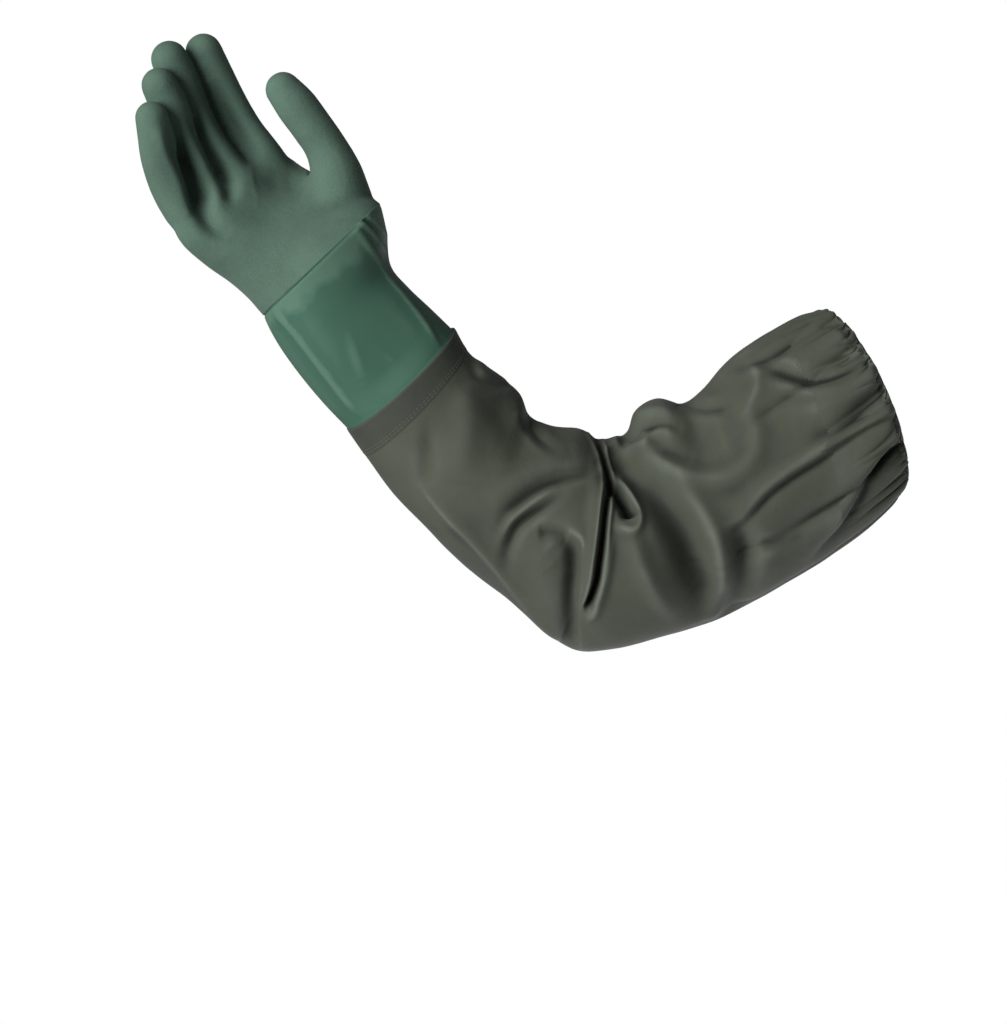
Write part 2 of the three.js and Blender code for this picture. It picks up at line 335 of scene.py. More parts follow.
# The finishes read this relief to paint shade into the hollows and highlight onto the crests.
def relief_for_painted_shade(shape: bmesh.types.BMesh, rounds: int, most: float = 2.0) -> None:
    """Notes how far each vertex stands out of the eased surface, as the attribute "relief", in metres.

    Args:
        shape: the mesh that gets the attribute.
        rounds: how much the surface is eased for it.
        most: the largest relief noted, in millimetres.
    """
    shape.normal_update()
    places = [vertex.co.copy() for vertex in shape.verts]
    normals = [vertex.normal.copy() for vertex in shape.verts]
    softened(shape, rounds)
    relief = shape.verts.layers.float.new("relief")
    for vertex, place, normal in zip(shape.verts, places, normals):
        vertex[relief] = min((place - vertex.co).dot(normal), most * MM)
        vertex.co = place


def finished(name: str, shape: bmesh.types.BMesh, material: bpy.types.Material) -> bpy.types.Object:
    """Makes a smooth shaded object of a mesh, at the origin.

    Args:
        name: the piece's name.
        shape: its mesh, which is used up.
        material: its finish.

    Returns:
        The object, in the scene.
    """
    mesh = bpy.data.meshes.new(name)
    shape.to_mesh(mesh)
    shape.free()
    mesh.shade_smooth()
    mesh.materials.append(material)
    piece = bpy.data.objects.new(name, mesh)
    bpy.context.scene.collection.objects.link(piece)
    return piece


def walled(piece: bpy.types.Object, thickness: float, group: str = "", edge_share: float = 1.0) -> None:
    """Gives a surface its wall, inwards.

    Args:
        piece: the object.
        thickness: the wall in metres.
        group: a vertex group that is 0 where the wall thins.
        edge_share: the share of the wall left there.
    """
    wall = piece.modifiers.new("wall", "SOLIDIFY")
    wall.thickness = thickness
    wall.offset = -1
    wall.use_rim = True
    if group:
        wall.vertex_group = group
        wall.thickness_vertex_group = edge_share


def registered(piece: bpy.types.Object, node: str = "") -> None:
    """Ties a piece to the part.

    Args:
        piece: the object.
        node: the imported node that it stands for, if any.
    """
    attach(piece, BODY)
    if node:
        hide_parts(node)
    LOG.info("%s: %d vertices", piece.name, len(piece.data.vertices))


class Bench:
    """The shader nodes of one material, added and joined in short lines."""

    def __init__(self, name: str) -> None:
        """Starts an empty material.

        Args:
            name: the material's name.
        """
        self.material = bpy.data.materials.new(name)
        self.material.use_nodes = True
        self.tree = self.material.node_tree
        self.tree.nodes.clear()
        places = self.node("TexCoord")
        self.place = places.outputs["Object"]
        self.cloth = places.outputs["UV"]

    def node(self, kind: str, inputs: dict[str, Any] | None = None, **settings: Any) -> bpy.types.Node:
        """Adds a node.

        Args:
            kind: its type, without ShaderNode.
            inputs: a value or another node's socket for each named input.
            settings: the node's own properties.

        Returns:
            The node.
        """
        node = self.tree.nodes.new("ShaderNode" + kind)
        for name, value in settings.items():
            setattr(node, name, value)
        for name, value in (inputs or {}).items():
            if isinstance(value, bpy.types.NodeSocket):
                self.tree.links.new(value, node.inputs[name])
            else:
                node.inputs[name].default_value = value
        return node

    def grain(self, scale: float, detail: float = 2.0, distortion: float = 0.0) -> bpy.types.NodeSocket:
        """Adds a noise pattern from 0 to 1, with its scale in features for each metre."""
        settings = {"Vector": self.place, "Scale": scale, "Detail": detail, "Distortion": distortion}
        return self.node("TexNoise", settings).outputs["Fac"]

    def relief(self, gain: float) -> bpy.types.NodeSocket:
        """Reads how far the surface stands out, times what a millimetre counts for."""
        noted = self.node("Attribute", attribute_name="relief").outputs["Fac"]
        return self.reckon("MULTIPLY", noted, gain / MM)

    def ramp(self, share: bpy.types.NodeSocket, stops: dict[float, Colour]) -> bpy.types.NodeSocket:
        """Adds a colour ramp.

        Args:
            share: what the ramp reads.
            stops: a colour for each place on it.

        Returns:
            The colour.
        """
        ramp = self.node("ValToRGB", {"Fac": share})
        elements = ramp.color_ramp.elements
        while len(elements) < len(stops):
            elements.new(0.5)
        for element, (place, colour) in zip(elements, stops.items()):
            element.position = place
            element.color = (*colour, 1.0)
        return ramp.outputs["Color"]

    def reckon(self, operation: str, first: Any, second: Any = 0.0) -> bpy.types.NodeSocket:
        """Adds a sum of two values or sockets.

        Args:
            operation: the Math node's operation.
            first: its first value.
            second: its second value.

        Returns:
            The result.
        """
        node = self.node("Math", operation=operation)
        for socket, value in zip(node.inputs, (first, second)):
            if isinstance(value, bpy.types.NodeSocket):
                self.tree.links.new(value, socket)
            else:
                socket.default_value = value
        return node.outputs["Value"]

    def bump(self, height: Any, depth: float, normal: Any = None) -> bpy.types.NodeSocket:
        """Adds fine relief.

        Args:
            height: the pattern, from 0 to 1.
            depth: its real height in millimetres.
            normal: the coarser relief that it lies on.

        Returns:
            The surface's direction with the relief.
        """
        inputs = {"Height": height, "Distance": depth * MM, "Strength": 1.0}
        if normal is not None:
            inputs["Normal"] = normal
        return self.node("Bump", inputs).outputs["Normal"]

    def finish(self, **inputs: Any) -> bpy.types.Material:
        """Closes the material with a Principled shader.

        Args:
            inputs: the shader's inputs, with _ for each blank.

        Returns:
            The finished material.
        """
        named = {name.replace("_", " "): value for name, value in inputs.items()}
        shader = self.node("BsdfPrincipled", named)
        self.node("OutputMaterial", {"Surface": shader.outputs["BSDF"]})
        return self.material


def shaded(colour: Colour, factor: float) -> Colour:
    """Gives a colour lighter or darker by a factor."""
    return tuple(channel * factor for channel in colour)


@dataclass(frozen=True)
class SandyDip:
    """The hand's rough second dip: matt, with sand-like grain. Sizes are in millimetres."""

    colour: Colour = (0.055, 0.091, 0.070)
    grain_size: float = 0.9
    grain_depth: float = 0.16
    speck_share: float = 0.45
    swell_depth: float = 0.35

    def material(self) -> bpy.types.Material:
        """Builds the finish.

        Returns:
            The material.
        """
        bench = Bench("sandy_dip")
        speck = bench.grain(scale=1 / (self.grain_size * MM), detail=3)
        specks = bench.reckon("MULTIPLY", speck, self.speck_share)
        clouds = bench.reckon("MULTIPLY", bench.grain(scale=28, detail=3), 1 - self.speck_share)
        # Painted shade and highlight: the relief darkens the colour in the hollows between the forms and
        # lightens it on their crests.
        tone = bench.reckon("ADD", bench.reckon("ADD", specks, clouds), bench.relief(gain=0.12))
        colour = bench.ramp(tone, {
            0.1: shaded(self.colour, 0.4), 0.36: shaded(self.colour, 0.84),
            0.64: shaded(self.colour, 1.16), 0.9: shaded(self.colour, 1.35),
        })
        swell = bench.bump(bench.grain(scale=130, distortion=0.4), self.swell_depth)
        return bench.finish(
            Base_Color=colour,
            Roughness=0.78,
            Specular_IOR_Level=0.1,
            Sheen_Weight=0.04,
            Sheen_Roughness=0.45,
            Normal=bench.bump(speck, self.grain_depth, swell),
        )


@dataclass(frozen=True)
class GlossyDip:
    """The gauntlet's smooth dip: glossy, paler next to the hand, with painted highlight on ridges and shade
    in creases.

    Lengths are in metres.
    """

    colour: Colour = (0.032, 0.075, 0.053)
    pale: Colour = (0.056, 0.108, 0.078)
    pale_length: float = 0.034
    border_wander: float = 0.9
    border_most: float = 0.7
    # Reach, fade and gain of the painted highlight on the ridges and the painted shade in the creases.
    ridge_light_reach: float = 0.098
    ridge_light_fade: float = 0.012
    ridge_light_gain: float = 1.1
    coat: float = 0.06

    def material(self) -> bpy.types.Material:
        """Builds the finish.

        Returns:
            The material.
        """
        bench = Bench("glossy_dip")
        along = bench.node("SeparateXYZ", {"Vector": bench.cloth}).outputs["X"]
        wander = bench.reckon("MULTIPLY", bench.grain(scale=50), self.border_wander)
        past_pale = bench.reckon("ADD", bench.reckon("DIVIDE", along, self.pale_length), wander)
        border = bench.reckon("MINIMUM", bench.reckon("MULTIPLY", past_pale, 0.5), self.border_most)
        # Painted highlight on the pressed ridges and painted shade in the creases, from the relief, kept off
        # the band.
        to_band = bench.reckon("SUBTRACT", self.ridge_light_reach, along)
        clear = bench.reckon("MINIMUM", bench.reckon("DIVIDE", to_band, self.ridge_light_fade), 1.0)
        clear = bench.reckon("MAXIMUM", clear, 0.0)
        ridge_light = bench.reckon("MULTIPLY", bench.relief(self.ridge_light_gain), clear)
        tone = bench.reckon("SUBTRACT", border, ridge_light)
        colour = bench.ramp(tone, {0.52: self.pale, 0.64: self.colour, 1.0: shaded(self.colour, 0.9)})
        runs = bench.bump(bench.grain(scale=45, distortion=0.6), depth=0.16)
        return bench.finish(
            Base_Color=colour,
            Roughness=0.5,
            Specular_IOR_Level=0.17,
            Coat_Weight=self.coat,
            Coat_Roughness=0.25,
            Normal=bench.bump(bench.grain(scale=420), depth=0.02, normal=runs),
        )


@dataclass(frozen=True)
class CoatedCloth:
    """The sleeve's coated cloth: a fine weave under a soft film, a little uneven in tone."""

    name: str = "coated_cloth"
    colour: Colour = (0.042, 0.0467, 0.0382)
    thread: float = 0.55
    # Gain of the painted shade in the fold hollows and painted highlight on the crests, for each millimetre
    # of relief.
    relief_shading: float = 0.4
    roughness: float = 0.56
    warm_tint: Colour = (1.03, 1.02, 0.93)

    def material(self) -> bpy.types.Material:
        """Builds the finish.

        Returns:
            The material.
        """
        bench = Bench(self.name)
        tone = bench.grain(scale=16, detail=4, distortion=0.5)
        warm = tuple(channel * tint for channel, tint in zip(self.colour, self.warm_tint))
        # Painted shade and highlight: the relief darkens the colour in the fold hollows and lightens it on
        # the crests.
        colour = bench.ramp(bench.reckon("ADD", tone, bench.relief(self.relief_shading)), {
            0.0: shaded(self.colour, 0.35), 0.35: shaded(self.colour, 0.88), 0.5: warm,
            0.68: shaded(self.colour, 1.15), 1.0: shaded(self.colour, 1.7),
        })
        uneven = bench.bump(bench.grain(scale=55, detail=3, distortion=0.8), depth=0.5)
        fine = bench.bump(bench.grain(scale=300, detail=3, distortion=0.3), depth=0.08, normal=uneven)
        return bench.finish(
            Base_Color=colour,
            Roughness=self.roughness,
            Specular_IOR_Level=0.15,
            Sheen_Weight=0.04,
            Sheen_Roughness=0.4,
            Normal=bench.bump(weave(bench, self.thread), depth=0.02, normal=fine),
        )


def weave(bench: Bench, thread: float) -> bpy.types.NodeSocket:
    """Adds a plain weave that follows the cloth.

    Args:
        bench: the material's nodes.
        thread: the pitch of its threads in millimetres.

    Returns:
        The pattern, from -1 to 1.
    """
    pitch = (TURN / (2 * thread * MM),) * 3
    turns = bench.node("VectorMath", {0: bench.cloth, 1: pitch}, operation="MULTIPLY")
    parts = bench.node("SeparateXYZ", {"Vector": turns.outputs["Vector"]})
    along = bench.reckon("SINE", parts.outputs["X"])
    across = bench.reckon("SINE", parts.outputs["Y"])
    return bench.reckon("MULTIPLY", along, across)


@dataclass(frozen=True)
class TapeCloth:
    """The seam tape: dark, with a diagonal weave and a pale line near each edge. Sizes are in millimetres."""

    colour: Colour = (0.026, 0.027, 0.024)
    pale: Colour = (0.12, 0.12, 0.105)
    rib: float = 1.6
    tape_width: float = 22.0
    line_place: float = 1.9
    line_width: float = 0.5

    def material(self) -> bpy.types.Material:
        """Builds the finish.

        Returns:
            The material.
        """
        bench = Bench("tape_cloth")
        parts = bench.node("SeparateXYZ", {"Vector": bench.cloth})
        slant = bench.reckon("ADD", parts.outputs["X"], parts.outputs["Y"])
        ribs = bench.reckon("SINE", bench.reckon("MULTIPLY", slant, TURN / (self.rib * MM)))
        middle = self.tape_width * MM / 2
        aside = bench.reckon("ABSOLUTE", bench.reckon("SUBTRACT", parts.outputs["Y"], middle))
        away = bench.reckon("ABSOLUTE", bench.reckon("SUBTRACT", aside, middle - self.line_place * MM))
        line = bench.reckon("LESS_THAN", away, self.line_width * MM)
        tone = bench.reckon("MULTIPLY", bench.reckon("ADD", ribs, 1.0), 0.3)
        share = bench.reckon("MAXIMUM", tone, line)
        colour = bench.ramp(share, {0.0: self.colour, 0.6: shaded(self.colour, 1.9), 1.0: self.pale})
        uneven = bench.bump(bench.grain(scale=90, distortion=0.5), depth=0.3)
        return bench.finish(
            Base_Color=colour,
            Roughness=0.6,
            Specular_IOR_Level=0.25,
            Normal=bench.bump(ribs, depth=0.1, normal=uneven),
        )


@dataclass(frozen=True)
class Thread:
    """Pale sewing thread."""

    colour: Colour = (0.075, 0.075, 0.064)

    def material(self) -> bpy.types.Material:
        """Builds the finish.

        Returns:
            The material.
        """
        bench = Bench("thread")
        fibres = bench.grain(scale=4000)
        colour = bench.ramp(fibres, {0.3: shaded(self.colour, 0.8), 0.7: shaded(self.colour, 1.2)})
        return bench.finish(Base_Color=colour, Roughness=0.7, Normal=bench.bump(fibres, depth=0.05))


@dataclass(frozen=True)
class StagePaint:
    """The pale floor."""

    colour: Colour = (0.95, 0.95, 0.95)

    def material(self) -> bpy.types.Material:
        """Builds the finish."""
        bench = Bench("stage_paint")
        return bench.finish(Base_Color=(*self.colour, 1.0), Roughness=0.9, Specular_IOR_Level=0.0)


class PalmSection(NamedTuple):
    """A section of the palm.

    It has a middle, half its width and thickness, its turn about Z in degrees, the rise of its thumb
    side, how far its back runs ahead, and the hollow of its palm side.
    """

    x: float
    y: float
    z: float
    half: float
    thick: float
    turn: float
    rise: float
    lead: float
    hollow: float


class Joint(NamedTuple):
    """A station of a digit: its middle and its radius."""

    x: float
    y: float
    z: float
    radius: float


@dataclass(frozen=True)
class Palm:
    """The palm from the wrist to the finger roots."""

    sections: tuple[PalmSection, ...] = (
        PalmSection(-236.6, 0, 278.9, 52.4, 45.5, 0, 8, 4, 0),
        PalmSection(-239.5, 0, 291, 51, 39, 8, 6, 3, 1),
        PalmSection(-246, 1, 304, 49.5, 32, 18, 4, 2, 3),
        PalmSection(-252.5, 1, 320, 52, 26, 27, 3, 1, 5),
        PalmSection(-258, 0, 336, 52.5, 22, 31, 2, 0, 5),
        PalmSection(-259.5, 0, 348, 50.5, 17.5, 32, 1, 0, 3),
        PalmSection(-260, 0, 357, 44, 9, 32, 0, 0, 0),
    )
    hollow_spread: float = 38.0

    def place(self, along: np.ndarray, angle: np.ndarray, height: np.ndarray | float = 0.0) -> np.ndarray:
        """Gives points on the palm.

        Args:
            along: fractions of its length.
            angle: angles round it, in radians. 0 is the thumb side and -90 degrees the palm side.
            height: how far the points stand off it.

        Returns:
            One (x, y, z) row for each point.
        """
        rows = smooth_rows(np.array(self.sections), along)
        turn = np.radians(rows[:, 5])
        middle_x, middle_y, middle_z, half, thick, _, rise, lead, hollow = rows.T * MM
        across, through = np.cos(angle), np.sin(angle)
        off_palm = (np.degrees(angle) + 90 + 180) % 360 - 180
        pressed = hollow * np.exp(-((off_palm / self.hollow_spread) ** 2))
        flat_x = (half + height) * across
        flat_y = (thick + height - pressed) * through
        return np.column_stack([
            middle_x + flat_x * np.cos(turn) - flat_y * np.sin(turn),
            middle_y + flat_x * np.sin(turn) + flat_y * np.cos(turn),
            middle_z + rise * across + lead * through,
        ])

    def wrist_plane(self) -> tuple[Vector, Vector]:
        """Finds the plane of the wrist's edge.

        Returns:
            A point of the edge, and the direction from it into the hand.
        """
        first = self.sections[0]
        slope = Vector((-first.rise / first.half, -first.lead / first.thick, 1)).normalized()
        return Vector((first.x, first.y, first.z)) * MM, slope


@dataclass(frozen=True)
class Digit:
    """A finger or the thumb, from its root in the palm to the middle of its round tip."""

    joints: tuple[Joint, ...]
    root_share: float = 0.06
    tip_share: float = 0.2
    knuckles: tuple[float, float, float] = (0.85, 0.53, 0)

    def place(self, level: np.ndarray, turn: np.ndarray) -> np.ndarray:
        """Gives points on the digit.

        Args:
            level: fractions from its closed root to the top of its tip.
            turn: angles round it, in radians.

        Returns:
            One (x, y, z) row for each point.
        """
        along = np.clip((level - self.root_share) / (1 - self.root_share - self.tip_share), 0, 1)
        table = np.array(self.joints) * MM
        rows = smooth_rows(table, along)
        middle, radius = rows[:, :3], rows[:, 3]
        step = 0.01
        ahead = smooth_rows(table, along + step)[:, :3] - smooth_rows(table, along - step)[:, :3]
        ahead /= np.linalg.norm(ahead, axis=1)[:, None]
        back = np.cross(ahead, np.array(self.knuckles))
        back /= np.linalg.norm(back, axis=1)[:, None]
        across = np.cross(back, ahead)
        dome = np.clip((level - 1 + self.tip_share) / self.tip_share, 0, 1) * math.pi / 2
        root = np.clip(level / self.root_share, 0, 1) * math.pi / 2
        share = np.cos(dome) * np.sin(root)
        return (
            middle
            + ahead * (radius * np.sin(dome))[:, None]
            + across * (radius * share * np.cos(turn))[:, None]
            + back * (radius * share * np.sin(turn))[:, None]
        )


LITTLE_FINGER = Digit((
    Joint(-286, -17, 331, 13), Joint(-291.5, -19, 350, 12.6), Joint(-290, -22, 370, 12.6),
    Joint(-284.5, -27, 388, 12.4), Joint(-278, -33, 401, 11.8), Joint(-273.5, -37, 411, 10.8),
))
RING_FINGER = Digit((
    Joint(-271, -7, 328, 13.8), Joint(-275, -6, 352, 13), Joint(-271.5, -8, 376, 13),
    Joint(-265.5, -13, 398, 12.8), Joint(-260.5, -18, 415, 12.4), Joint(-258, -22, 428, 11.6),
))
MIDDLE_FINGER = Digit((
    Joint(-250, 6, 330, 13.8), Joint(-253, 8, 356, 13.2), Joint(-254, 7, 380, 13.2),
    Joint(-251, 3, 404, 13), Joint(-246.5, -2, 424, 12.8), Joint(-243, -6, 441, 12.2),
))
INDEX_FINGER = Digit((
    Joint(-231, 16, 328, 14), Joint(-229.5, 19, 354, 13.4), Joint(-230.5, 19, 378, 13.2),
    Joint(-229, 17, 398, 13.2), Joint(-225.5, 13, 418, 12.8), Joint(-222, 9, 435, 12.2),
))
THUMB = Digit((
    Joint(-208, 5, 298, 22), Joint(-203.5, 3, 307, 21), Joint(-197, 0, 320, 17.5),
    Joint(-193, -3, 336, 14.2), Joint(-192.5, -6, 352, 13.6), Joint(-193, -8, 369, 13.6),
    Joint(-194, -9, 382, 11.8),
))


class Patch(NamedTuple):
    """A round patch of the hand that is eased where forms meet: its middle and its radius."""

    x: float
    y: float
    z: float
    radius: float


@dataclass(frozen=True)
class Hand:
    """The dipped hand: one shell round the palm and the digits, open at the wrist.

    Sizes are in millimetres.
    """

    palm: Palm = Palm()
    digits: tuple[Digit, ...] = (LITTLE_FINGER, RING_FINGER, MIDDLE_FINGER, INDEX_FINGER, THUMB)
    wall: float = 1.8
    grid: float = 1.3
    rings: int = 64
    ring_sides: int = 48
    overrun: float = 14.0
    palm_foot: float = 0.12
    palm_cap: float = 0.06
    first_easing: int = 8
    patch_easing: int = 40
    last_easing: int = 2
    facing_gain: float = 1.3
    relief_rounds: int = 40
    rim_length: float = 7.0
    rim_drop: float = 0.3
    rim_wall: float = 0.2
    patches: tuple[Patch, ...] = (
        Patch(-266, -12, 346, 24), Patch(-244, -2, 346, 22), Patch(-218, -18, 326, 28),
        Patch(-218, -16, 326, 22), Patch(-226, 4, 342, 20),
    )
    hollows: tuple[Fold, ...] = (
        Fold(VALLEY, 6.5, 8, (
            (-268, 396), (-271, 384), (-273, 369), (-278, 355), (-281, 344), (-281, 332), (-276, 322),
        ), (0.3, 0.4)),
        Fold(RIDGE, 5, 1.2, (
            (-257, 388), (-260.8, 377), (-264, 364), (-269, 351), (-274, 341), (-278, 334),
        ), (0.3, 0.5)),
        Fold(VALLEY, 4.5, 5, (
            (-250, 402), (-253, 389), (-255, 377), (-256, 362), (-259, 350), (-263, 340),
        )),
        Fold(RIDGE, 5, 1, ((-241, 383), (-243, 364), (-246, 353), (-252, 341))),
        Fold(VALLEY, 7.5, 7, (
            (-229, 416), (-231, 401), (-233, 386), (-234, 371), (-233, 356),
        ), (0.5, 0.4)),
        Fold(RIDGE, 4.5, 2, (
            (-274, 404), (-277, 390), (-280, 374), (-284, 358), (-287, 346),
        ), (0.2, 0.4)),
        Fold(VALLEY, 14, 6, ((-243, 346), (-233, 342), (-223, 337), (-213, 331)), (0.5, 0.3)),
    )

    def blank(self) -> bmesh.types.BMesh:
        """Makes the closed forms of the palm and digits, which run into each other.

        Returns:
            All the forms in one mesh.
        """
        shape = bmesh.new()
        for digit in self.digits:
            self.mapped_sphere(shape, digit.place)
        self.mapped_sphere(shape, self.closed_palm)
        return shape

    def closed_palm(self, level: np.ndarray, turn: np.ndarray) -> np.ndarray:
        """Gives points of the palm's form, closed at both ends and longer than the palm at the wrist.

        Args:
            level: fractions of the form's length.
            turn: angles round it, in radians.

        Returns:
            One (x, y, z) row for each point.
        """
        below, cap = self.palm_foot, self.palm_cap
        along = np.clip((level - below) / (1 - below - cap), 0, 1)
        edge = self.palm.place(along, turn)
        middle = smooth_rows(np.array(self.palm.sections)[:, :3] * MM, along)
        closing = np.minimum(np.clip(level / cap, 0, 1), np.clip((1 - level) / cap, 0, 1))[:, None]
        drop = np.clip((below - level) / (below - cap), 0, 1) * self.overrun * MM
        place = middle + (edge - middle) * closing
        place[:, 2] -= drop
        return place

    def mapped_sphere(self, shape: bmesh.types.BMesh, lay: Surface) -> None:
        """Adds a ball whose rings are laid onto a closed form.

        Args:
            shape: the mesh that it joins.
            lay: gives places for levels from 0 to 1 and turns in radians.
        """
        made = bmesh.ops.create_uvsphere(
            shape, u_segments=self.ring_sides, v_segments=self.rings, radius=1.0
        )
        ball = made["verts"]
        flat = np.array([vertex.co for vertex in ball])
        level = 1 - np.arccos(np.clip(flat[:, 2], -1, 1)) / math.pi
        turn = np.arctan2(flat[:, 1], flat[:, 0])
        for vertex, place in zip(ball, lay(level, turn)):
            vertex.co = place

    def skin(self) -> bmesh.types.BMesh:
        """Joins the forms into one skin, by a voxel remesh.

        Returns:
            The skin.
        """
        mesh = bpy.data.meshes.new("hand_blank")
        shape = self.blank()
        bmesh.ops.recalc_face_normals(shape, faces=shape.faces)
        shape.to_mesh(mesh)
        blank = bpy.data.objects.new("hand_blank", mesh)
        bpy.context.scene.collection.objects.link(blank)
        remesh = blank.modifiers.new("join", "REMESH")
        remesh.mode = "VOXEL"
        remesh.voxel_size = self.grid * MM
        joined = bpy.data.meshes.new_from_object(blank.evaluated_get(bpy.context.evaluated_depsgraph_get()))
        shape.clear()
        shape.from_mesh(joined)
        bpy.data.objects.remove(blank)
        bpy.data.meshes.remove(mesh)
        bpy.data.meshes.remove(joined)
        return shape

    def sculpt(self, shape: bmesh.types.BMesh) -> None:
        """Eases the skin, presses the hollows of the palm into it and draws it in at the wrist's edge.

        Args:
            shape: the skin.
        """
        softened(shape, self.first_easing)
        for *middle, radius in self.patches:
            centre = Vector(middle) * MM
            near = [vertex for vertex in shape.verts if (vertex.co - centre).length < radius * MM]
            softened(shape, self.patch_easing, where=near)
        shape.normal_update()
        places = np.array([vertex.co for vertex in shape.verts])
        normals = np.array([vertex.normal for vertex in shape.verts])
        point, upward = self.palm.wrist_plane()
        above = (places - np.array(point)) @ np.array(upward)
        facing = np.clip(-normals[:, 1] * self.facing_gain, 0, 1)
        heights = fold_heights(self.hollows, places, facing)
        heights -= self.rim_drop * MM * (1 - eased(above, 0, self.rim_length * MM))
        for vertex, place, normal, height in zip(shape.verts, places, normals, heights):
            vertex.co = place + normal * height
        softened(shape, self.last_easing)

    def make(self, finish: bpy.types.Material) -> None:
        """Builds the hand and ties it to the part.

        Args:
            finish: the hand's material.
        """
        shape = self.skin()
        self.sculpt(shape)
        # Relief for the painted shade and highlight of the hand's finish.
        relief_for_painted_shade(shape, self.relief_rounds)
        point, upward = self.palm.wrist_plane()
        everything = [*shape.verts, *shape.edges, *shape.faces]
        bmesh.ops.bisect_plane(shape, geom=everything, plane_co=point, plane_no=upward, clear_inner=True)
        piece = finished("hand_shell", shape, finish)
        rim = piece.vertex_groups.new(name="wall")
        for vertex in piece.data.vertices:
            above = (vertex.co - point).dot(upward)
            rim.add([vertex.index], float(eased(np.array([above]), 0, self.rim_length * MM)[0]), "REPLACE")
        walled(piece, self.wall * MM, "wall", self.rim_wall / self.wall)
        registered(piece, "hand")


SLEEVE = ArmTube((
    Section(-191.5, 193, -286.5, 179, 45, 45, 9), Section(-193, 176, -286.5, 157, 47, 46, 9),
    Section(-189.5, 161, -285.5, 129, 49, 48, 8), Section(-184.5, 146, -281.5, 101, 51, 50, 6),
    Section(-181.5, 133, -277.5, 75, 52, 52, 4), Section(-184, 118, -272, 53, 53, 53, 3),
    Section(-176, 105, -264.5, 30, 56, 55, 2), Section(-163, 93, -258, 4, 59, 57, 1),
    Section(-158, 84, -251, -17, 60, 59, 0), Section(-154.5, 79, -243, -28, 59, 60, 0),
    Section(-146.5, 75.5, -227, -37, 59, 61, 0), Section(-137.5, 74, -210, -44, 61, 62, 0),
    Section(-125.5, 81.5, -193, -50, 64, 63, 1), Section(-111, 80, -176, -56, 64, 64, 2),
    Section(-98, 68, -158, -61, 63, 64, 3), Section(-82, 68, -138, -64, 64, 65, 5),
    Section(-59, 73, -113, -66.5, 65, 66, 7), Section(-31, 74, -83, -69, 65, 66, 9),
    Section(-6, 71, -50, -68, 64, 65, 10), Section(4, 67.5, -28, -65, 62, 63, 11),
    Section(10.5, 66.5, -16, -62.5, 59, 60, 11),
))

GAUNTLET = ArmTube((
    Section(-184.5, 286.5, -288.5, 270.5, 45, 46, 4), Section(-192, 269, -290.5, 260, 44, 45, 5),
    Section(-202, 250, -291.5, 245, 44, 45, 6), Section(-201, 232, -291, 222, 44, 45, 8),
    Section(-197, 212, -289, 200, 43, 44, 9), Section(-193.5, 194, -286, 180.5, 43, 43, 9),
))

FOREARM_FOLDS = (
    Fold(RIDGE, 11, 4.5, ((-208, 160), (-214, 147), (-225, 132), (-236, 119), (-246, 108)), (0.3, 0.5)),
    Fold(VALLEY, 6, 3.2, ((-238, 156), (-248, 141), (-258, 128), (-264, 119)), (0.5, 0.35)),
    Fold(VALLEY, 10, 3.6, ((-193, 140), (-197, 128), (-201, 115), (-210, 98)), (0.4, 0.35)),
    Fold(TUCK, 4, 3.5, ((-193, 172), (-196.5, 158), (-190, 149), (-183, 141)), (0.2, 0.2)),
    Fold(CREASE, 3, 3.8, ((-182, 121), (-186.5, 113), (-187, 102), (-185, 92)), (0.05, 0.5)),
    Fold(PLEAT, 3.6, 6.5, (
        (-268, 120), (-263.5, 94), (-260, 76), (-257.5, 52), (-256.5, 26), (-255, 0), (-250, -14),
    ), (0.2, 0.05)),
)

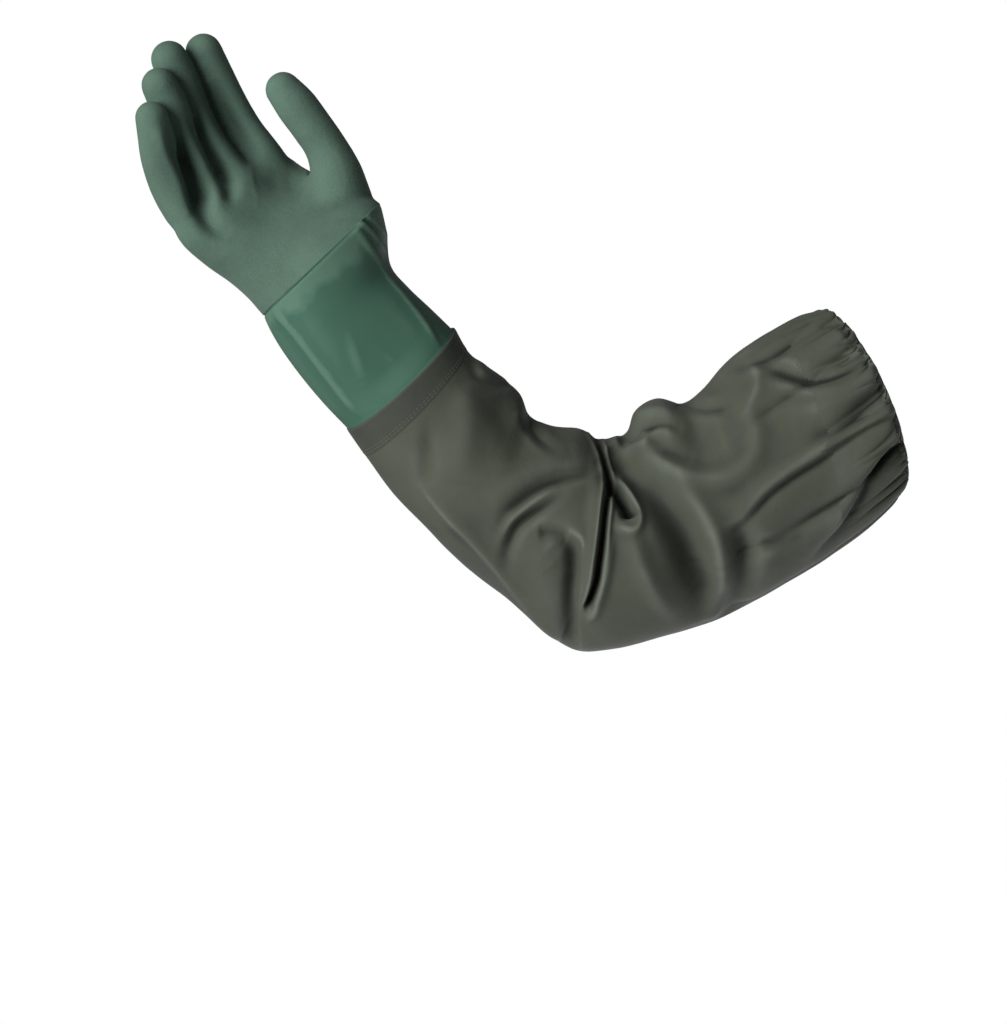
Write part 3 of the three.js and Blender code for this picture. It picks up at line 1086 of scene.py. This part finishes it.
ELBOW_FOLDS = (
    Fold(RIDGE, 7, 2.5, ((-178, 82), (-192, 86), (-208, 88), (-224, 88), (-240, 86)), (0.3, 0.4)),
    Fold(VALLEY, 4.5, 4, (
        (-167, 66), (-177, 68.5), (-190, 73), (-204, 76), (-213, 76.5), (-223, 76), (-233, 75),
        (-243, 70),
    ), (0.15, 0.4)),
    Fold(RIDGE, 3.5, 2, ((-196, 71), (-210, 71.5), (-222, 71), (-233, 69.5), (-243, 64)), (0.3, 0.3)),
    Fold(VALLEY, 4, 4.8, (
        (-198, 66), (-210, 65.5), (-221, 65.3), (-232, 64), (-241, 59.5), (-249, 53), (-253, 45),
    ), (0.4, 0.35)),
    Fold(CREASE, 1.6, 8, (
        (-157, 84), (-158.3, 77), (-162.6, 63), (-169, 53), (-175, 46.6), (-184, 37), (-195, 24.4),
        (-204.7, 14), (-213.5, 4.4), (-227, -6),
    ), (0.0, 0.05)),
    Fold(VALLEY, 3, 7, ((-192, 28), (-201, 18), (-209, 9), (-217, 2), (-227, -6)), (0.6, 0.1)),
    Fold(RIDGE, 5, 4, (
        (-172, 60), (-180, 49), (-190, 37), (-200, 26), (-210, 14), (-221, 3), (-231, -6),
    )),
    Fold(RIDGE, 2.8, 2.5, ((-186, 27), (-195, 16), (-206, 4.4), (-216, -4), (-224, -10), (-233, -12))),
    Fold(PLEAT, 3, 4, (
        (-207, 44), (-203.6, 35), (-207.7, 27.6), (-215, 18), (-222, 9), (-233.6, -5.4), (-243, -21.4),
        (-247, -29),
    ), (0.2, 0.0)),
    Fold(VALLEY, 5.5, 8.5, (
        (-213, 42), (-211.5, 32), (-219, 19), (-226, 11), (-237, -3), (-246, -16), (-251, -26),
    ), (0.25, 0.0)),
    Fold(VALLEY, 5, 2.5, ((-224, 53), (-216, 48), (-209, 41))),
    Fold(VALLEY, 12, 6.5, (
        (-222, 42), (-219, 30), (-224, 17), (-231, 5), (-240, -9), (-248, -22),
    ), (0.35, 0.1)),
    Fold(VALLEY, 4.4, 14, ((-162, 62), (-165.4, 54), (-167, 44), (-168.5, 34), (-170.5, 28)), (0.4, 0.1)),
    Fold(RIDGE, 2.6, 3, (
        (-158.5, 56), (-160.3, 39.5), (-164, 26), (-170, 20.5), (-176, 22.5), (-181, 29),
    ), (0.2, 0.2)),
    Fold(VALLEY, 12, 19, (
        (-150, 74), (-148, 60), (-147, 44), (-147.5, 26), (-148.5, 7), (-151, -8), (-157, -26),
        (-162, -44), (-166, -56),
    ), (0.1, 0.14)),
    Fold(RIDGE, 7, 5.5, ((-173, 26), (-179, 10), (-183, -7), (-184, -24), (-181, -44)), (0.35, 0.3)),
    Fold(RIDGE, 7, 4.5, (
        (-133, 40), (-133, 22), (-133, 4), (-135, -12), (-139, -24), (-144, -35), (-149, -44),
        (-158, -52), (-168, -58),
    ), (0.3, 0.1)),
    Fold(CREASE, 2.8, 8.5, ((-141, 74), (-135, 71.5), (-128, 73), (-119, 69), (-112, 60)), (0.0, 0.5)),
    Fold(RIDGE, 6, 3, ((-128, 86), (-120, 84), (-111, 79), (-104, 71), (-98, 62)), (0.2, 0.5)),
    Fold(VALLEY, 7, 6, ((-128, 72), (-126.7, 65), (-126, 54.6), (-122, 44), (-116, 36)), (0.2, 0.5)),
    Fold(RIDGE, 7, 2, ((-141, 72), (-139.5, 60), (-136, 48), (-130, 37)), (0.3, 0.5)),
    Fold(RIDGE, 7, 3.4, (
        (-135, 46), (-129, 35), (-119, 22), (-105, 14), (-90, 14), (-80, 20), (-74, 32), (-73, 42),
    ), (0.3, 0.2)),
    Fold(VALLEY, 14, 5, ((-120, 60), (-112, 50), (-104, 44), (-92, 40)), (0.6, 0.4)),
    Fold(VALLEY, 8.5, 10, ((-119, -12), (-123, -29), (-132, -44), (-145, -57), (-154, -65)), (0.3, 0.0)),
)

UPPER_FOLDS = (
    Fold(CREASE, 3, 3, ((-103, 70), (-96, 63), (-88, 55), (-80, 49)), (0.05, 0.4)),
    Fold(PLEAT, 6, 4.5, ((-50, 68), (-52, 57), (-58, 48), (-68, 42), (-80, 38)), (0.3, 0.35)),
    Fold(CREASE, 3.4, 4, ((-62, 66), (-47, 62), (-34, 60), (-18, 61), (-2, 64)), (0.25, 0.4)),
    Fold(CREASE, 3.4, 4.5, (
        (-46, 57), (-39, 47), (-32, 39), (-24, 32), (-12, 26), (4, 24), (18, 23),
    ), (0.3, 0.0)),
    Fold(RIDGE, 7, 2.5, ((-36, 52), (-22, 46), (-6, 44), (8, 44)), (0.4, 0.1)),
    Fold(RIDGE, 6, 3.4, ((-44, 22), (-30, 15), (-15, 11), (1, 11), (16, 12)), (0.4, 0.0)),
    Fold(VALLEY, 6, 5.5, ((-49, 5), (-35, -1), (-22, -2), (-10, 0), (2, 1), (18, -2)), (0.5, 0.0)),
    Fold(TUCK, 4.5, 4.2, (
        (-132, -16), (-115, -14.6), (-93, -9), (-72, -8), (-53, -9), (-24, -10), (0, -13), (12, -16),
    ), (0.3, 0.0)),
    Fold(TUCK, 5, 6.5, (
        (-96, -65), (-82, -57), (-64, -53), (-48, -45), (-31, -36.5), (-13, -31), (0, -34), (12, -40),
    ), (0.3, 0.0)),
    Fold(VALLEY, 5, 4, ((-34, -42), (-20, -37), (-6, -39), (8, -44)), (0.4, 0.1)),
    Fold(CREASE, 3, 1.4, ((-113, -33), (-105, -39), (-95, -43), (-84, -44))),
    Fold(RIDGE, 9, 3, ((-78, 68), (-55, 72), (-33, 70), (-5, 68))),
)

BACK_FOLDS = (
    Fold(CREASE, 7, 8, ((-158, 80), (-178, 72), (-200, 64), (-222, 62)), (0.0, 0.5)),
    Fold(VALLEY, 9, 7, ((-160, 74), (-176, 52), (-200, 30), (-224, 12)), (0.0, 0.4)),
    Fold(RIDGE, 9, 4, ((-168, 72), (-190, 52), (-214, 34))),
    Fold(VALLEY, 10, 7, ((-150, 70), (-152, 40), (-162, 6), (-178, -22)), (0.0, 0.4)),
    Fold(RIDGE, 10, 4, ((-146, 44), (-142, 10), (-150, -24))),
    Fold(CREASE, 6, 6, ((-142, 72), (-128, 62), (-116, 44)), (0.0, 0.5)),
    Fold(VALLEY, 11, 6, ((-118, 36), (-120, 4), (-132, -30)), (0.4, 0.4)),
    Fold(RIDGE, 12, 5, ((-104, 44), (-104, 8), (-112, -28))),
    Fold(VALLEY, 12, 5, ((-62, 52), (-76, 20), (-94, -14)), (0.3, 0.4)),
    Fold(RIDGE, 10, 4, ((-46, 40), (-60, 10), (-74, -22))),
    Fold(VALLEY, 9, 5, ((14, 26), (-12, 18), (-40, 2)), (0.05, 0.5)),
    Fold(VALLEY, 9, 5, ((10, -20), (-16, -24), (-48, -36)), (0.05, 0.5)),
    Fold(VALLEY, 12, 5, ((-196, 134), (-220, 118), (-246, 108)), (0.2, 0.4)),
    Fold(RIDGE, 10, 4, ((-188, 112), (-214, 94), (-242, 86))),
    Fold(VALLEY, 9, 5, ((-186, 100), (-208, 82), (-234, 70)), (0.1, 0.4)),
    Fold(RIDGE, 9, 3, ((-206, 166), (-214, 146), (-230, 128))),
)


@dataclass(frozen=True)
class Gathers:
    """Creases that the elastic draws into the cloth, each with its own place and size, in millimetres."""

    count: int
    seed: int
    depth: tuple[float, float]
    width: tuple[float, float]
    length: tuple[float, float]
    slant: float
    bunch: int = 1
    closeness: float = 0.55
    girth: float = 400.0
    uneven_spread: float = 0.35
    own_slant: float = 0.5

    def height(self, from_edge: np.ndarray, angle: np.ndarray) -> np.ndarray:
        """Gives how far the creases draw the cloth in, as a height below 0, in millimetres.

        Args:
            from_edge: distances from the free edge, in millimetres.
            angle: angles round the hem.

        Returns:
            Heights in millimetres.
        """
        draw = np.random.default_rng(self.seed)
        total = np.zeros(len(angle))
        bunch_lean = 0.0
        for number in range(self.count):
            within = number % self.bunch
            if within == 0:
                bunch_lean = draw.uniform(-self.slant, self.slant)
            middle = number - within + self.bunch / 2
            spread = (within - (self.bunch - 1) / 2) * self.closeness
            aside = draw.uniform(-self.uneven_spread, self.uneven_spread)
            place = (middle + spread + aside) / self.count * TURN
            depth, width = draw.uniform(*self.depth), draw.uniform(*self.width)
            length = self.length[0] + (self.length[1] - self.length[0]) * draw.uniform() ** 2
            lean = (bunch_lean + draw.uniform(-self.own_slant, self.own_slant) * self.slant) * from_edge
            across = ((angle - place + math.pi) % TURN - math.pi) * self.girth / TURN + lean
            reach = np.exp(-((from_edge / length) ** 3))
            total -= depth * reach * sharp_rise(across / width)
        return total


@dataclass(frozen=True)
class Sleeve:
    """The cloth sleeve: forearm to above the elbow, with its folds. Sizes are in millimetres."""

    tube: ArmTube = SLEEVE
    pleats: Gathers = Gathers(24, 5, (1.2, 3.4), (2.4, 4.2), (54.0, 114.0), 0.12)
    wall: float = 1.2
    steps: int = 280
    sides: int = 168
    lengthwise: Spacing = Spacing((0, 0.08, 0.6, 1), (0, 0.1, 0.58, 1))
    crosswise: Spacing = Spacing((0, 0.7, 1), (0, 0.5, 1))
    flat_length: float = 420.0
    flat_girth: float = 350.0
    fade_from: float = 0.03
    fade_to: float = 0.09
    held_hem: float = 0.035
    hem_width: float = 64.0
    under_hem: tuple[float, float] = (0.75, 0.9)
    relief_rounds: int = 16
    unevenness: float = 0.7
    fine_share: float = 0.4

    def from_edge(self, along: np.ndarray) -> np.ndarray:
        """Gives distances from the free edge of the hem, in millimetres."""
        return (1 - along) * self.flat_length

    def height(self, along: np.ndarray, angle: np.ndarray) -> np.ndarray:
        """Gives how far the folded cloth stands off the plain tube.

        Args:
            along: fractions from the joint to the hem.
            angle: angles round the arm.

        Returns:
            Heights in metres.
        """
        plain = self.tube.place(along, angle)
        facing = np.sin(angle)
        folds = fold_heights(FOREARM_FOLDS + ELBOW_FOLDS + UPPER_FOLDS, plain, -facing)
        folds += fold_heights(BACK_FOLDS, plain, facing)
        uneven = undulation(plain, scale=24, seed=3.1)
        uneven += self.fine_share * undulation(plain, scale=60, seed=1.7)
        held = eased(along, self.fade_from, self.fade_to) * eased(1 - along, 0, self.held_hem)
        pleats = self.pleats.height(self.from_edge(along), angle) * MM
        return held * (folds + uneven * self.unevenness * MM) + pleats

    def place(self, along: np.ndarray, angle: np.ndarray, height: np.ndarray | float = 0.0) -> np.ndarray:
        """Gives points at a height off the folded cloth, for fractions from the joint to the hem."""
        return self.tube.place(along, angle, self.height(along, angle) + height)

    def lay(self, share: np.ndarray, turn: np.ndarray) -> np.ndarray:
        """Gives points on the sleeve, which dips under the hem casing near its free edge."""
        covered = 1 - eased(self.from_edge(share) / self.hem_width, *self.under_hem)
        return self.place(share, turn * TURN - math.pi, -self.wall * MM * covered)

    def make(self, finish: bpy.types.Material) -> None:
        """Builds the sleeve and ties it to the part.

        Args:
            finish: the sleeve's material.
        """
        size = (self.flat_length * MM, self.flat_girth * MM)
        shape = laid_grid(self.steps, self.sides, size, self.lay, self.lengthwise, self.crosswise)
        softened(shape, rounds=1, factor=0.25)
        # Relief for the painted shade and highlight of the cloth's finish.
        relief_for_painted_shade(shape, self.relief_rounds)
        piece = finished("sleeve_cloth", shape, finish)
        walled(piece, self.wall * MM)
        registered(piece, "sleeve")


@dataclass(frozen=True)
class Gauntlet:
    """The smooth dipped tube, whose ends run inside the hand and the sleeve. Sizes are in millimetres."""

    tube: ArmTube = GAUNTLET
    palm: Palm = Palm()
    sleeve: ArmTube = SLEEVE
    wall: float = 1.5
    steps: int = 150
    sides: int = 176
    flat_length: float = 110.0
    flat_girth: float = 285.0
    wrist_lap: float = 0.1
    sleeve_lap: float = 0.05
    lap_rows: float = 0.08
    under_rim: float = 0.6
    under_hand: float = 1.9
    under_cloth: float = 3.2
    rim_fade: tuple[float, float] = (0.004, 0.06)
    crease_fade: tuple[float, float] = (0.02, 0.2)
    sunk_in_hand: float = 0.08
    sunk_in_sleeve: float = 0.4
    slid_in_sleeve: float = 0.3
    ridges: tuple[tuple[float, float], ...] = (
        (-57, -148), (-47, -141), (-31, -134), (-31, -134), (-38, -137), (-46, -140),
    )
    ridge_spread: float = 3.6
    ridge_height: float = 1.7
    panel_drop: float = 6.0
    panel_roundness: float = 1.3
    panel_fade: tuple[float, float] = (-0.15, 0.5)
    smoothed_out: float = 0.8
    smooth_from: float = 0.82
    unevenness: float = 0.3
    relief_rounds: int = 12
    relief_most: float = 0.15
    creases: tuple[Fold, ...] = (
        Fold(PLEAT, 2.2, 2.2, ((-205, 290), (-202, 280), (-200, 270), (-200, 258))),
        Fold(CREASE, 1.8, 3, ((-201, 290), (-199, 280), (-197, 268), (-197, 256))),
        Fold(PLEAT, 1.8, 1.6, ((-198, 288), (-196, 278), (-194, 266))),
        Fold(RIDGE, 5, 0.4, ((-249, 230), (-253.6, 218), (-258, 206), (-261, 197)), (0.6, 0.5)),
        Fold(RIDGE, 5, 0.4, ((-241, 212), (-238, 202), (-235, 192), (-232, 182)), (0.7, 0.2)),
    )

    def panel(self, along: np.ndarray, angle: np.ndarray) -> np.ndarray:
        """Gives the height of the two pressed lengthwise ridges and of the flat panel between them.

        Args:
            along: fractions from the hand to the band.
            angle: angles round the arm.

        Returns:
            Heights in metres.
        """
        degrees = np.degrees(angle)
        inner, outer = smooth_rows(np.array(self.ridges, float), along).T
        between = np.clip((degrees - outer) / (inner - outer), 0, 1)
        raised = -self.panel_drop * np.sin(math.pi * between) ** self.panel_roundness
        raised *= eased(along, *self.panel_fade)
        for place in (inner, outer):
            across = np.abs(degrees - place) / self.ridge_spread
            raised += self.ridge_height * np.exp(0.14 - np.sqrt(across**2 + 0.02)) * eased(along, 0, 0.06)
        return raised * (1 - self.smoothed_out * eased(along, self.smooth_from, 1.0)) * MM

    def place(self, share: np.ndarray, turn: np.ndarray) -> np.ndarray:
        """Gives points on the gauntlet.

        Args:
            share: fractions of its whole length, laps and all.
            turn: turns round it, from 0 to 1.

        Returns:
            One (x, y, z) row for each point.
        """
        angle = turn * TURN - math.pi
        lap, last = self.wrist_lap, 1 - self.lap_rows
        along = np.clip((share - lap) / (last - lap), 0, 1)
        plain = self.tube.place(along, angle)
        height = self.panel(along, angle) - self.under_rim * MM * (1 - eased(along, *self.rim_fade))
        height += fold_heights(self.creases, plain, -np.sin(angle)) * eased(1 - along, *self.crease_fade)
        height += self.unevenness * MM * undulation(plain, scale=34, seed=5.3) * eased(along, 0, 0.1)
        body = self.tube.place(along, angle, height)
        in_lap = np.clip(lap - share, 0, 1)
        sunk = eased(in_lap, 0, self.sunk_in_hand)
        under = self.under_rim + (self.under_hand - self.under_rim) * sunk
        in_hand = self.palm.place(in_lap, angle, -under * MM)
        past = np.clip((share - last) / (1 - last), 0, 1)
        drop = self.under_cloth * MM * eased(past, 0, self.sunk_in_sleeve)
        in_sleeve = self.sleeve.place(past * self.sleeve_lap, angle, -drop)
        place = np.where((share < lap)[:, None], in_hand, body)
        sliding = (1 - eased(past, 0, self.slid_in_sleeve))[:, None]
        return np.where((share > last)[:, None], in_sleeve + (body - in_sleeve) * sliding, place)

    def make(self, finish: bpy.types.Material) -> None:
        """Builds the gauntlet and ties it to the part.

        Args:
            finish: the gauntlet's material.
        """
        size = (self.flat_length * MM, self.flat_girth * MM)
        shape = laid_grid(self.steps, self.sides, size, self.place)
        # Relief for the painted highlight on the ridges and painted shade in the creases of the gauntlet.
        relief_for_painted_shade(shape, self.relief_rounds, self.relief_most)
        piece = finished("gauntlet_tube", shape, finish)
        walled(piece, self.wall * MM)
        registered(piece, "gauntlet")


@dataclass(frozen=True)
class JointBand:
    """The doubled cloth where the sleeve is joined to the gauntlet, and its stitches.

    Sizes are in millimetres, but length and the stitch rows are fractions of the sleeve's length.
    """

    sleeve: Sleeve = Sleeve()
    wall: float = 0.8
    length: float = 0.05
    rise: float = 0.15
    rolled_in: float = 0.9
    rolled_share: float = 0.12
    edge_drop: float = 0.25
    edge_from: float = 0.9
    steps: int = 26
    sides: int = 176
    flat_length: float = 20.0
    flat_girth: float = 290.0
    stitch_rows: tuple[float, ...] = (0.0395, 0.0435)
    stitches: int = 96
    stitch_length: float = 2.1
    stitch_width: float = 0.42
    stitch_share: float = 0.6

    def height(self, share: np.ndarray) -> np.ndarray:
        """Gives how far the band stands off the sleeve, over its own length."""
        rolled = (1 - eased(share, 0, self.rolled_share)) * self.rolled_in
        return (self.rise - rolled - self.edge_drop * eased(share, self.edge_from, 1.0)) * MM

    def place(self, share: np.ndarray, turn: np.ndarray) -> np.ndarray:
        """Gives points on the band, for shares of its length and turns round it."""
        return self.sleeve.place(share * self.length, turn * TURN - math.pi, self.height(share))

    def stitch(self, shape: bmesh.types.BMesh, along: float, turn: float) -> None:
        """Adds one stitch.

        Args:
            shape: the mesh that it joins.
            along: its place along the sleeve.
            turn: its place round it.
        """
        step = self.stitch_share / self.stitches / 2
        ends = self.place(np.full(2, along / self.length), np.array([turn - step, turn + step]))
        direction = Vector(ends[1] - ends[0]).normalized()
        turned = direction.to_track_quat("X", "Z").to_matrix().to_4x4()
        half_width = self.stitch_width / 2
        size = Matrix.Diagonal((self.stitch_length / 2, half_width, half_width, 1 / MM)) * MM
        middle = Matrix.Translation(Vector((ends[0] + ends[1]) / 2))
        poles_lengthwise = Matrix.Rotation(math.pi / 2, 4, "Y")
        place = middle @ turned @ size @ poles_lengthwise
        bmesh.ops.create_uvsphere(shape, u_segments=8, v_segments=6, radius=1.0, matrix=place)

    def make(self, finish: bpy.types.Material, thread: bpy.types.Material) -> None:
        """Builds the band and its stitches and ties them to the part.

        Args:
            finish: the band's material.
            thread: the stitches' material.
        """
        size = (self.flat_length * MM, self.flat_girth * MM)
        band = finished("band_cloth", laid_grid(self.steps, self.sides, size, self.place), finish)
        walled(band, self.wall * MM)
        registered(band, "joint_band")
        seam = bmesh.new()
        for along in self.stitch_rows:
            for number in range(self.stitches):
                self.stitch(seam, along, number / self.stitches)
        registered(finished("band_stitches", seam, thread))


@dataclass(frozen=True)
class SeamTape:
    """The woven tape welded along the back near the elbow side. Sizes are in millimetres."""

    sleeve: Sleeve = Sleeve()
    angles: tuple[float, float] = (123.0, 146.0)
    reach: tuple[float, float] = (0.05, 0.87)
    wall: float = 0.7
    rise: float = 0.8
    edge_drop: float = 0.5
    edge_share: float = 0.06
    steps: int = 240
    sides: int = 18
    flat_length: float = 370.0
    flat_width: float = 22.0

    def place(self, share: np.ndarray, across: np.ndarray) -> np.ndarray:
        """Gives points on the tape.

        Args:
            share: fractions of its length.
            across: fractions of its width.

        Returns:
            One (x, y, z) row for each point.
        """
        along = self.reach[0] + (self.reach[1] - self.reach[0]) * share
        angle = np.radians(self.angles[0] + (self.angles[1] - self.angles[0]) * across)
        edge = np.minimum(across, 1 - across)
        height = (self.rise - self.edge_drop * (1 - eased(edge, 0, self.edge_share))) * MM
        return self.sleeve.place(along, angle, height)

    def make(self, finish: bpy.types.Material) -> None:
        """Builds the tape and ties it to the part.

        Args:
            finish: the tape's material.
        """
        size = (self.flat_length * MM, self.flat_width * MM)
        piece = finished("tape_strip", laid_grid(self.steps, self.sides, size, self.place), finish)
        walled(piece, self.wall * MM)
        registered(piece, "seam_tape")


@dataclass(frozen=True)
class HemCasing:
    """The casing round the elastic at the arm opening.

    It is flat where it is sewn on, and thick and puffy at its free edge. Sizes are in millimetres.
    """

    sleeve: Sleeve = Sleeve()
    gathers: tuple[Gathers, ...] = (
        Gathers(116, 11, (1.6, 4.4), (0.6, 1.1), (12.0, 38.0), 0.2, 4),
        Gathers(38, 7, (1.8, 4.4), (1.0, 1.9), (34.0, 80.0), 0.14, 3),
    )
    crosswise: Spacing = Spacing((0, 0.62, 1), (0, 0.5, 1))
    thickness: float = 2.0
    flat_share: float = 0.15
    sunk: float = 0.6
    deepest: float = 2.0
    gathers_fade: tuple[float, float] = (0.5, 0.95)
    lift: float = 1.5
    rolled: float = 0.4
    rolled_sharpness: int = 3
    notch: float = 1.4
    notch_sharpness: int = 6
    relief_rounds: int = 140
    relief_most: float = 0.28
    steps: int = 60
    sides: int = 900
    flat_girth: float = 620.0

    def place(self, share: np.ndarray, turn: np.ndarray) -> np.ndarray:
        """Gives points on the casing.

        Args:
            share: how far round its own section, from 0 to 1.
            turn: turns round the arm.

        Returns:
            One (x, y, z) row for each point.
        """
        angle = turn * TURN - math.pi
        section = share * TURN
        towards_edge = (1 + np.cos(section)) / 2
        from_edge = (1 - towards_edge) * self.sleeve.hem_width
        drawn = sum(gathers.height(from_edge, angle) for gathers in self.gathers)
        drawn *= 1 - eased(1 - towards_edge, *self.gathers_fade)
        rolled = self.rolled * towards_edge**self.rolled_sharpness
        outside = np.clip(2 * np.sin(section) + rolled, 0, 1)
        fullness = self.flat_share + (1 - self.flat_share) * np.sqrt(towards_edge)
        height = self.thickness * np.sin(section) * fullness - self.sunk * (1 - self.lift * towards_edge)
        height = np.maximum(height + drawn * outside, -self.deepest)
        notched = self.notch * drawn * towards_edge**self.notch_sharpness
        along = 1 - (from_edge - notched) / self.sleeve.flat_length
        return self.sleeve.place(along, angle, height * MM)

    def make(self, finish: bpy.types.Material) -> None:
        """Builds the casing and ties it to the part.

        Args:
            finish: the cloth's material.
        """
        size = (2 * self.sleeve.hem_width * MM, self.flat_girth * MM)
        shape = laid_grid(self.steps, self.sides, size, self.place, crosswise=self.crosswise)
        bmesh.ops.recalc_face_normals(shape, faces=shape.faces)
        # Relief for the painted shade in the gathers of the cloth's finish.
        relief_for_painted_shade(shape, self.relief_rounds, self.relief_most)
        registered(finished("hem_gathers", shape, finish), "hem_casing")


class Softbox(NamedTuple):
    """A square soft light: where it stands, its width and its power in watts."""

    name: str
    place: tuple[float, float, float]
    width: float
    power: float


@dataclass(frozen=True)
class Studio:
    """A pale floor, soft light and the camera at the photograph's angle. Metres."""

    floor_height: float = -0.45
    floor_width: float = 2.6
    floor_front: float = -0.25
    aim: tuple[float, float, float] = (-0.234, 0, 0.0766)
    distance: float = 1.9
    roll: float = math.radians(35)
    view_width: float = 0.6656
    sensor: float = 36.0
    sun_power: float = 6.1
    sun_spread: float = math.radians(42)
    sun_from: tuple[float, float, float] = (-0.88, -1.22, 0.78)
    fill: float = 0.16
    softboxes: tuple[Softbox, ...] = (
        Softbox("key_box", (-0.5, -1.3, 1.5), 0.9, 5.0),
        Softbox("side_box", (-1.6, -0.9, 0.1), 0.8, 4.0),
    )

    def make(self) -> None:
        """Builds the floor, the light and the camera."""
        self.make_floor()
        self.make_sky()
        self.make_lights()
        self.make_camera()

    def make_floor(self) -> None:
        """Lays the pale floor."""
        shape = bmesh.new()
        bmesh.ops.create_grid(shape, x_segments=1, y_segments=1, size=self.floor_width / 2)
        middle = (0, self.floor_front + self.floor_width / 2, self.floor_height)
        bmesh.ops.translate(shape, verts=shape.verts, vec=middle)
        finished("floor", shape, StagePaint().material())

    def make_sky(self) -> None:
        """Surrounds the set with white, dimmer as a light than it looks."""
        world = bpy.data.worlds.new("studio")
        bpy.context.scene.world = world
        world.use_nodes = True
        tree = world.node_tree
        tree.nodes.clear()
        path = tree.nodes.new("ShaderNodeLightPath")
        strength = tree.nodes.new("ShaderNodeMix")
        strength.inputs["A"].default_value = self.fill
        strength.inputs["B"].default_value = 1.0
        background = tree.nodes.new("ShaderNodeBackground")
        background.inputs["Color"].default_value = (1, 1, 1, 1)
        output = tree.nodes.new("ShaderNodeOutputWorld")
        tree.links.new(path.outputs["Is Camera Ray"], strength.inputs["Factor"])
        tree.links.new(strength.outputs["Result"], background.inputs["Strength"])
        tree.links.new(background.outputs["Background"], output.inputs["Surface"])

    def make_lights(self) -> None:
        """Sets up a broad sun and the softboxes."""
        sun = bpy.data.lights.new("sun", "SUN")
        sun.energy = self.sun_power
        sun.angle = self.sun_spread
        self.stand("sun", sun, Vector(self.sun_from), Vector(self.sun_from)).visible_glossy = False
        for box in self.softboxes:
            light = bpy.data.lights.new(box.name, "AREA")
            light.shape = "SQUARE"
            light.size = box.width
            light.energy = box.power
            self.stand(box.name, light, Vector(box.place), Vector(box.place) - Vector(self.aim))

    @staticmethod
    def stand(name: str, data: bpy.types.Light, place: Vector, backwards: Vector) -> bpy.types.Object:
        """Stands a light in the set.

        Args:
            name: the object's name.
            data: the light.
            place: where it stands.
            backwards: the direction from what it lights back to it.

        Returns:
            The light's object.
        """
        light = bpy.data.objects.new(name, data)
        turned = backwards.to_track_quat("Z", "Y").to_matrix().to_4x4()
        light.matrix_world = Matrix.Translation(place) @ turned
        bpy.context.scene.collection.objects.link(light)
        return light

    def make_camera(self) -> None:
        """Places the camera in front of the palm, rolled as the photograph is."""
        data = bpy.data.cameras.new("camera")
        data.sensor_width = self.sensor
        data.lens = self.sensor * self.distance / self.view_width
        camera = bpy.data.objects.new("camera", data)
        right = Vector((math.cos(self.roll), 0, -math.sin(self.roll)))
        up = Vector((math.sin(self.roll), 0, math.cos(self.roll)))
        backwards = right.cross(up)
        turned = Matrix((right, up, backwards)).transposed().to_4x4()
        camera.matrix_world = Matrix.Translation(Vector(self.aim) + backwards * self.distance) @ turned
        bpy.context.scene.collection.objects.link(camera)
        bpy.context.scene.camera = camera
        bpy.context.scene.view_settings.view_transform = "Standard"


def main() -> None:
    """Builds the set and every piece, in order."""
    logging.basicConfig(level=logging.INFO, format="%(name)s: %(message)s")
    Studio().make()
    cloth = CoatedCloth().material()
    Hand().make(SandyDip().material())
    Gauntlet().make(GlossyDip().material())
    JointBand().make(CoatedCloth("band_cloth", (0.033, 0.036, 0.031)).material(), Thread().material())
    Sleeve().make(cloth)
    SeamTape().make(TapeCloth().material())
    HemCasing().make(cloth)


if __name__ == "__main__":
    main()
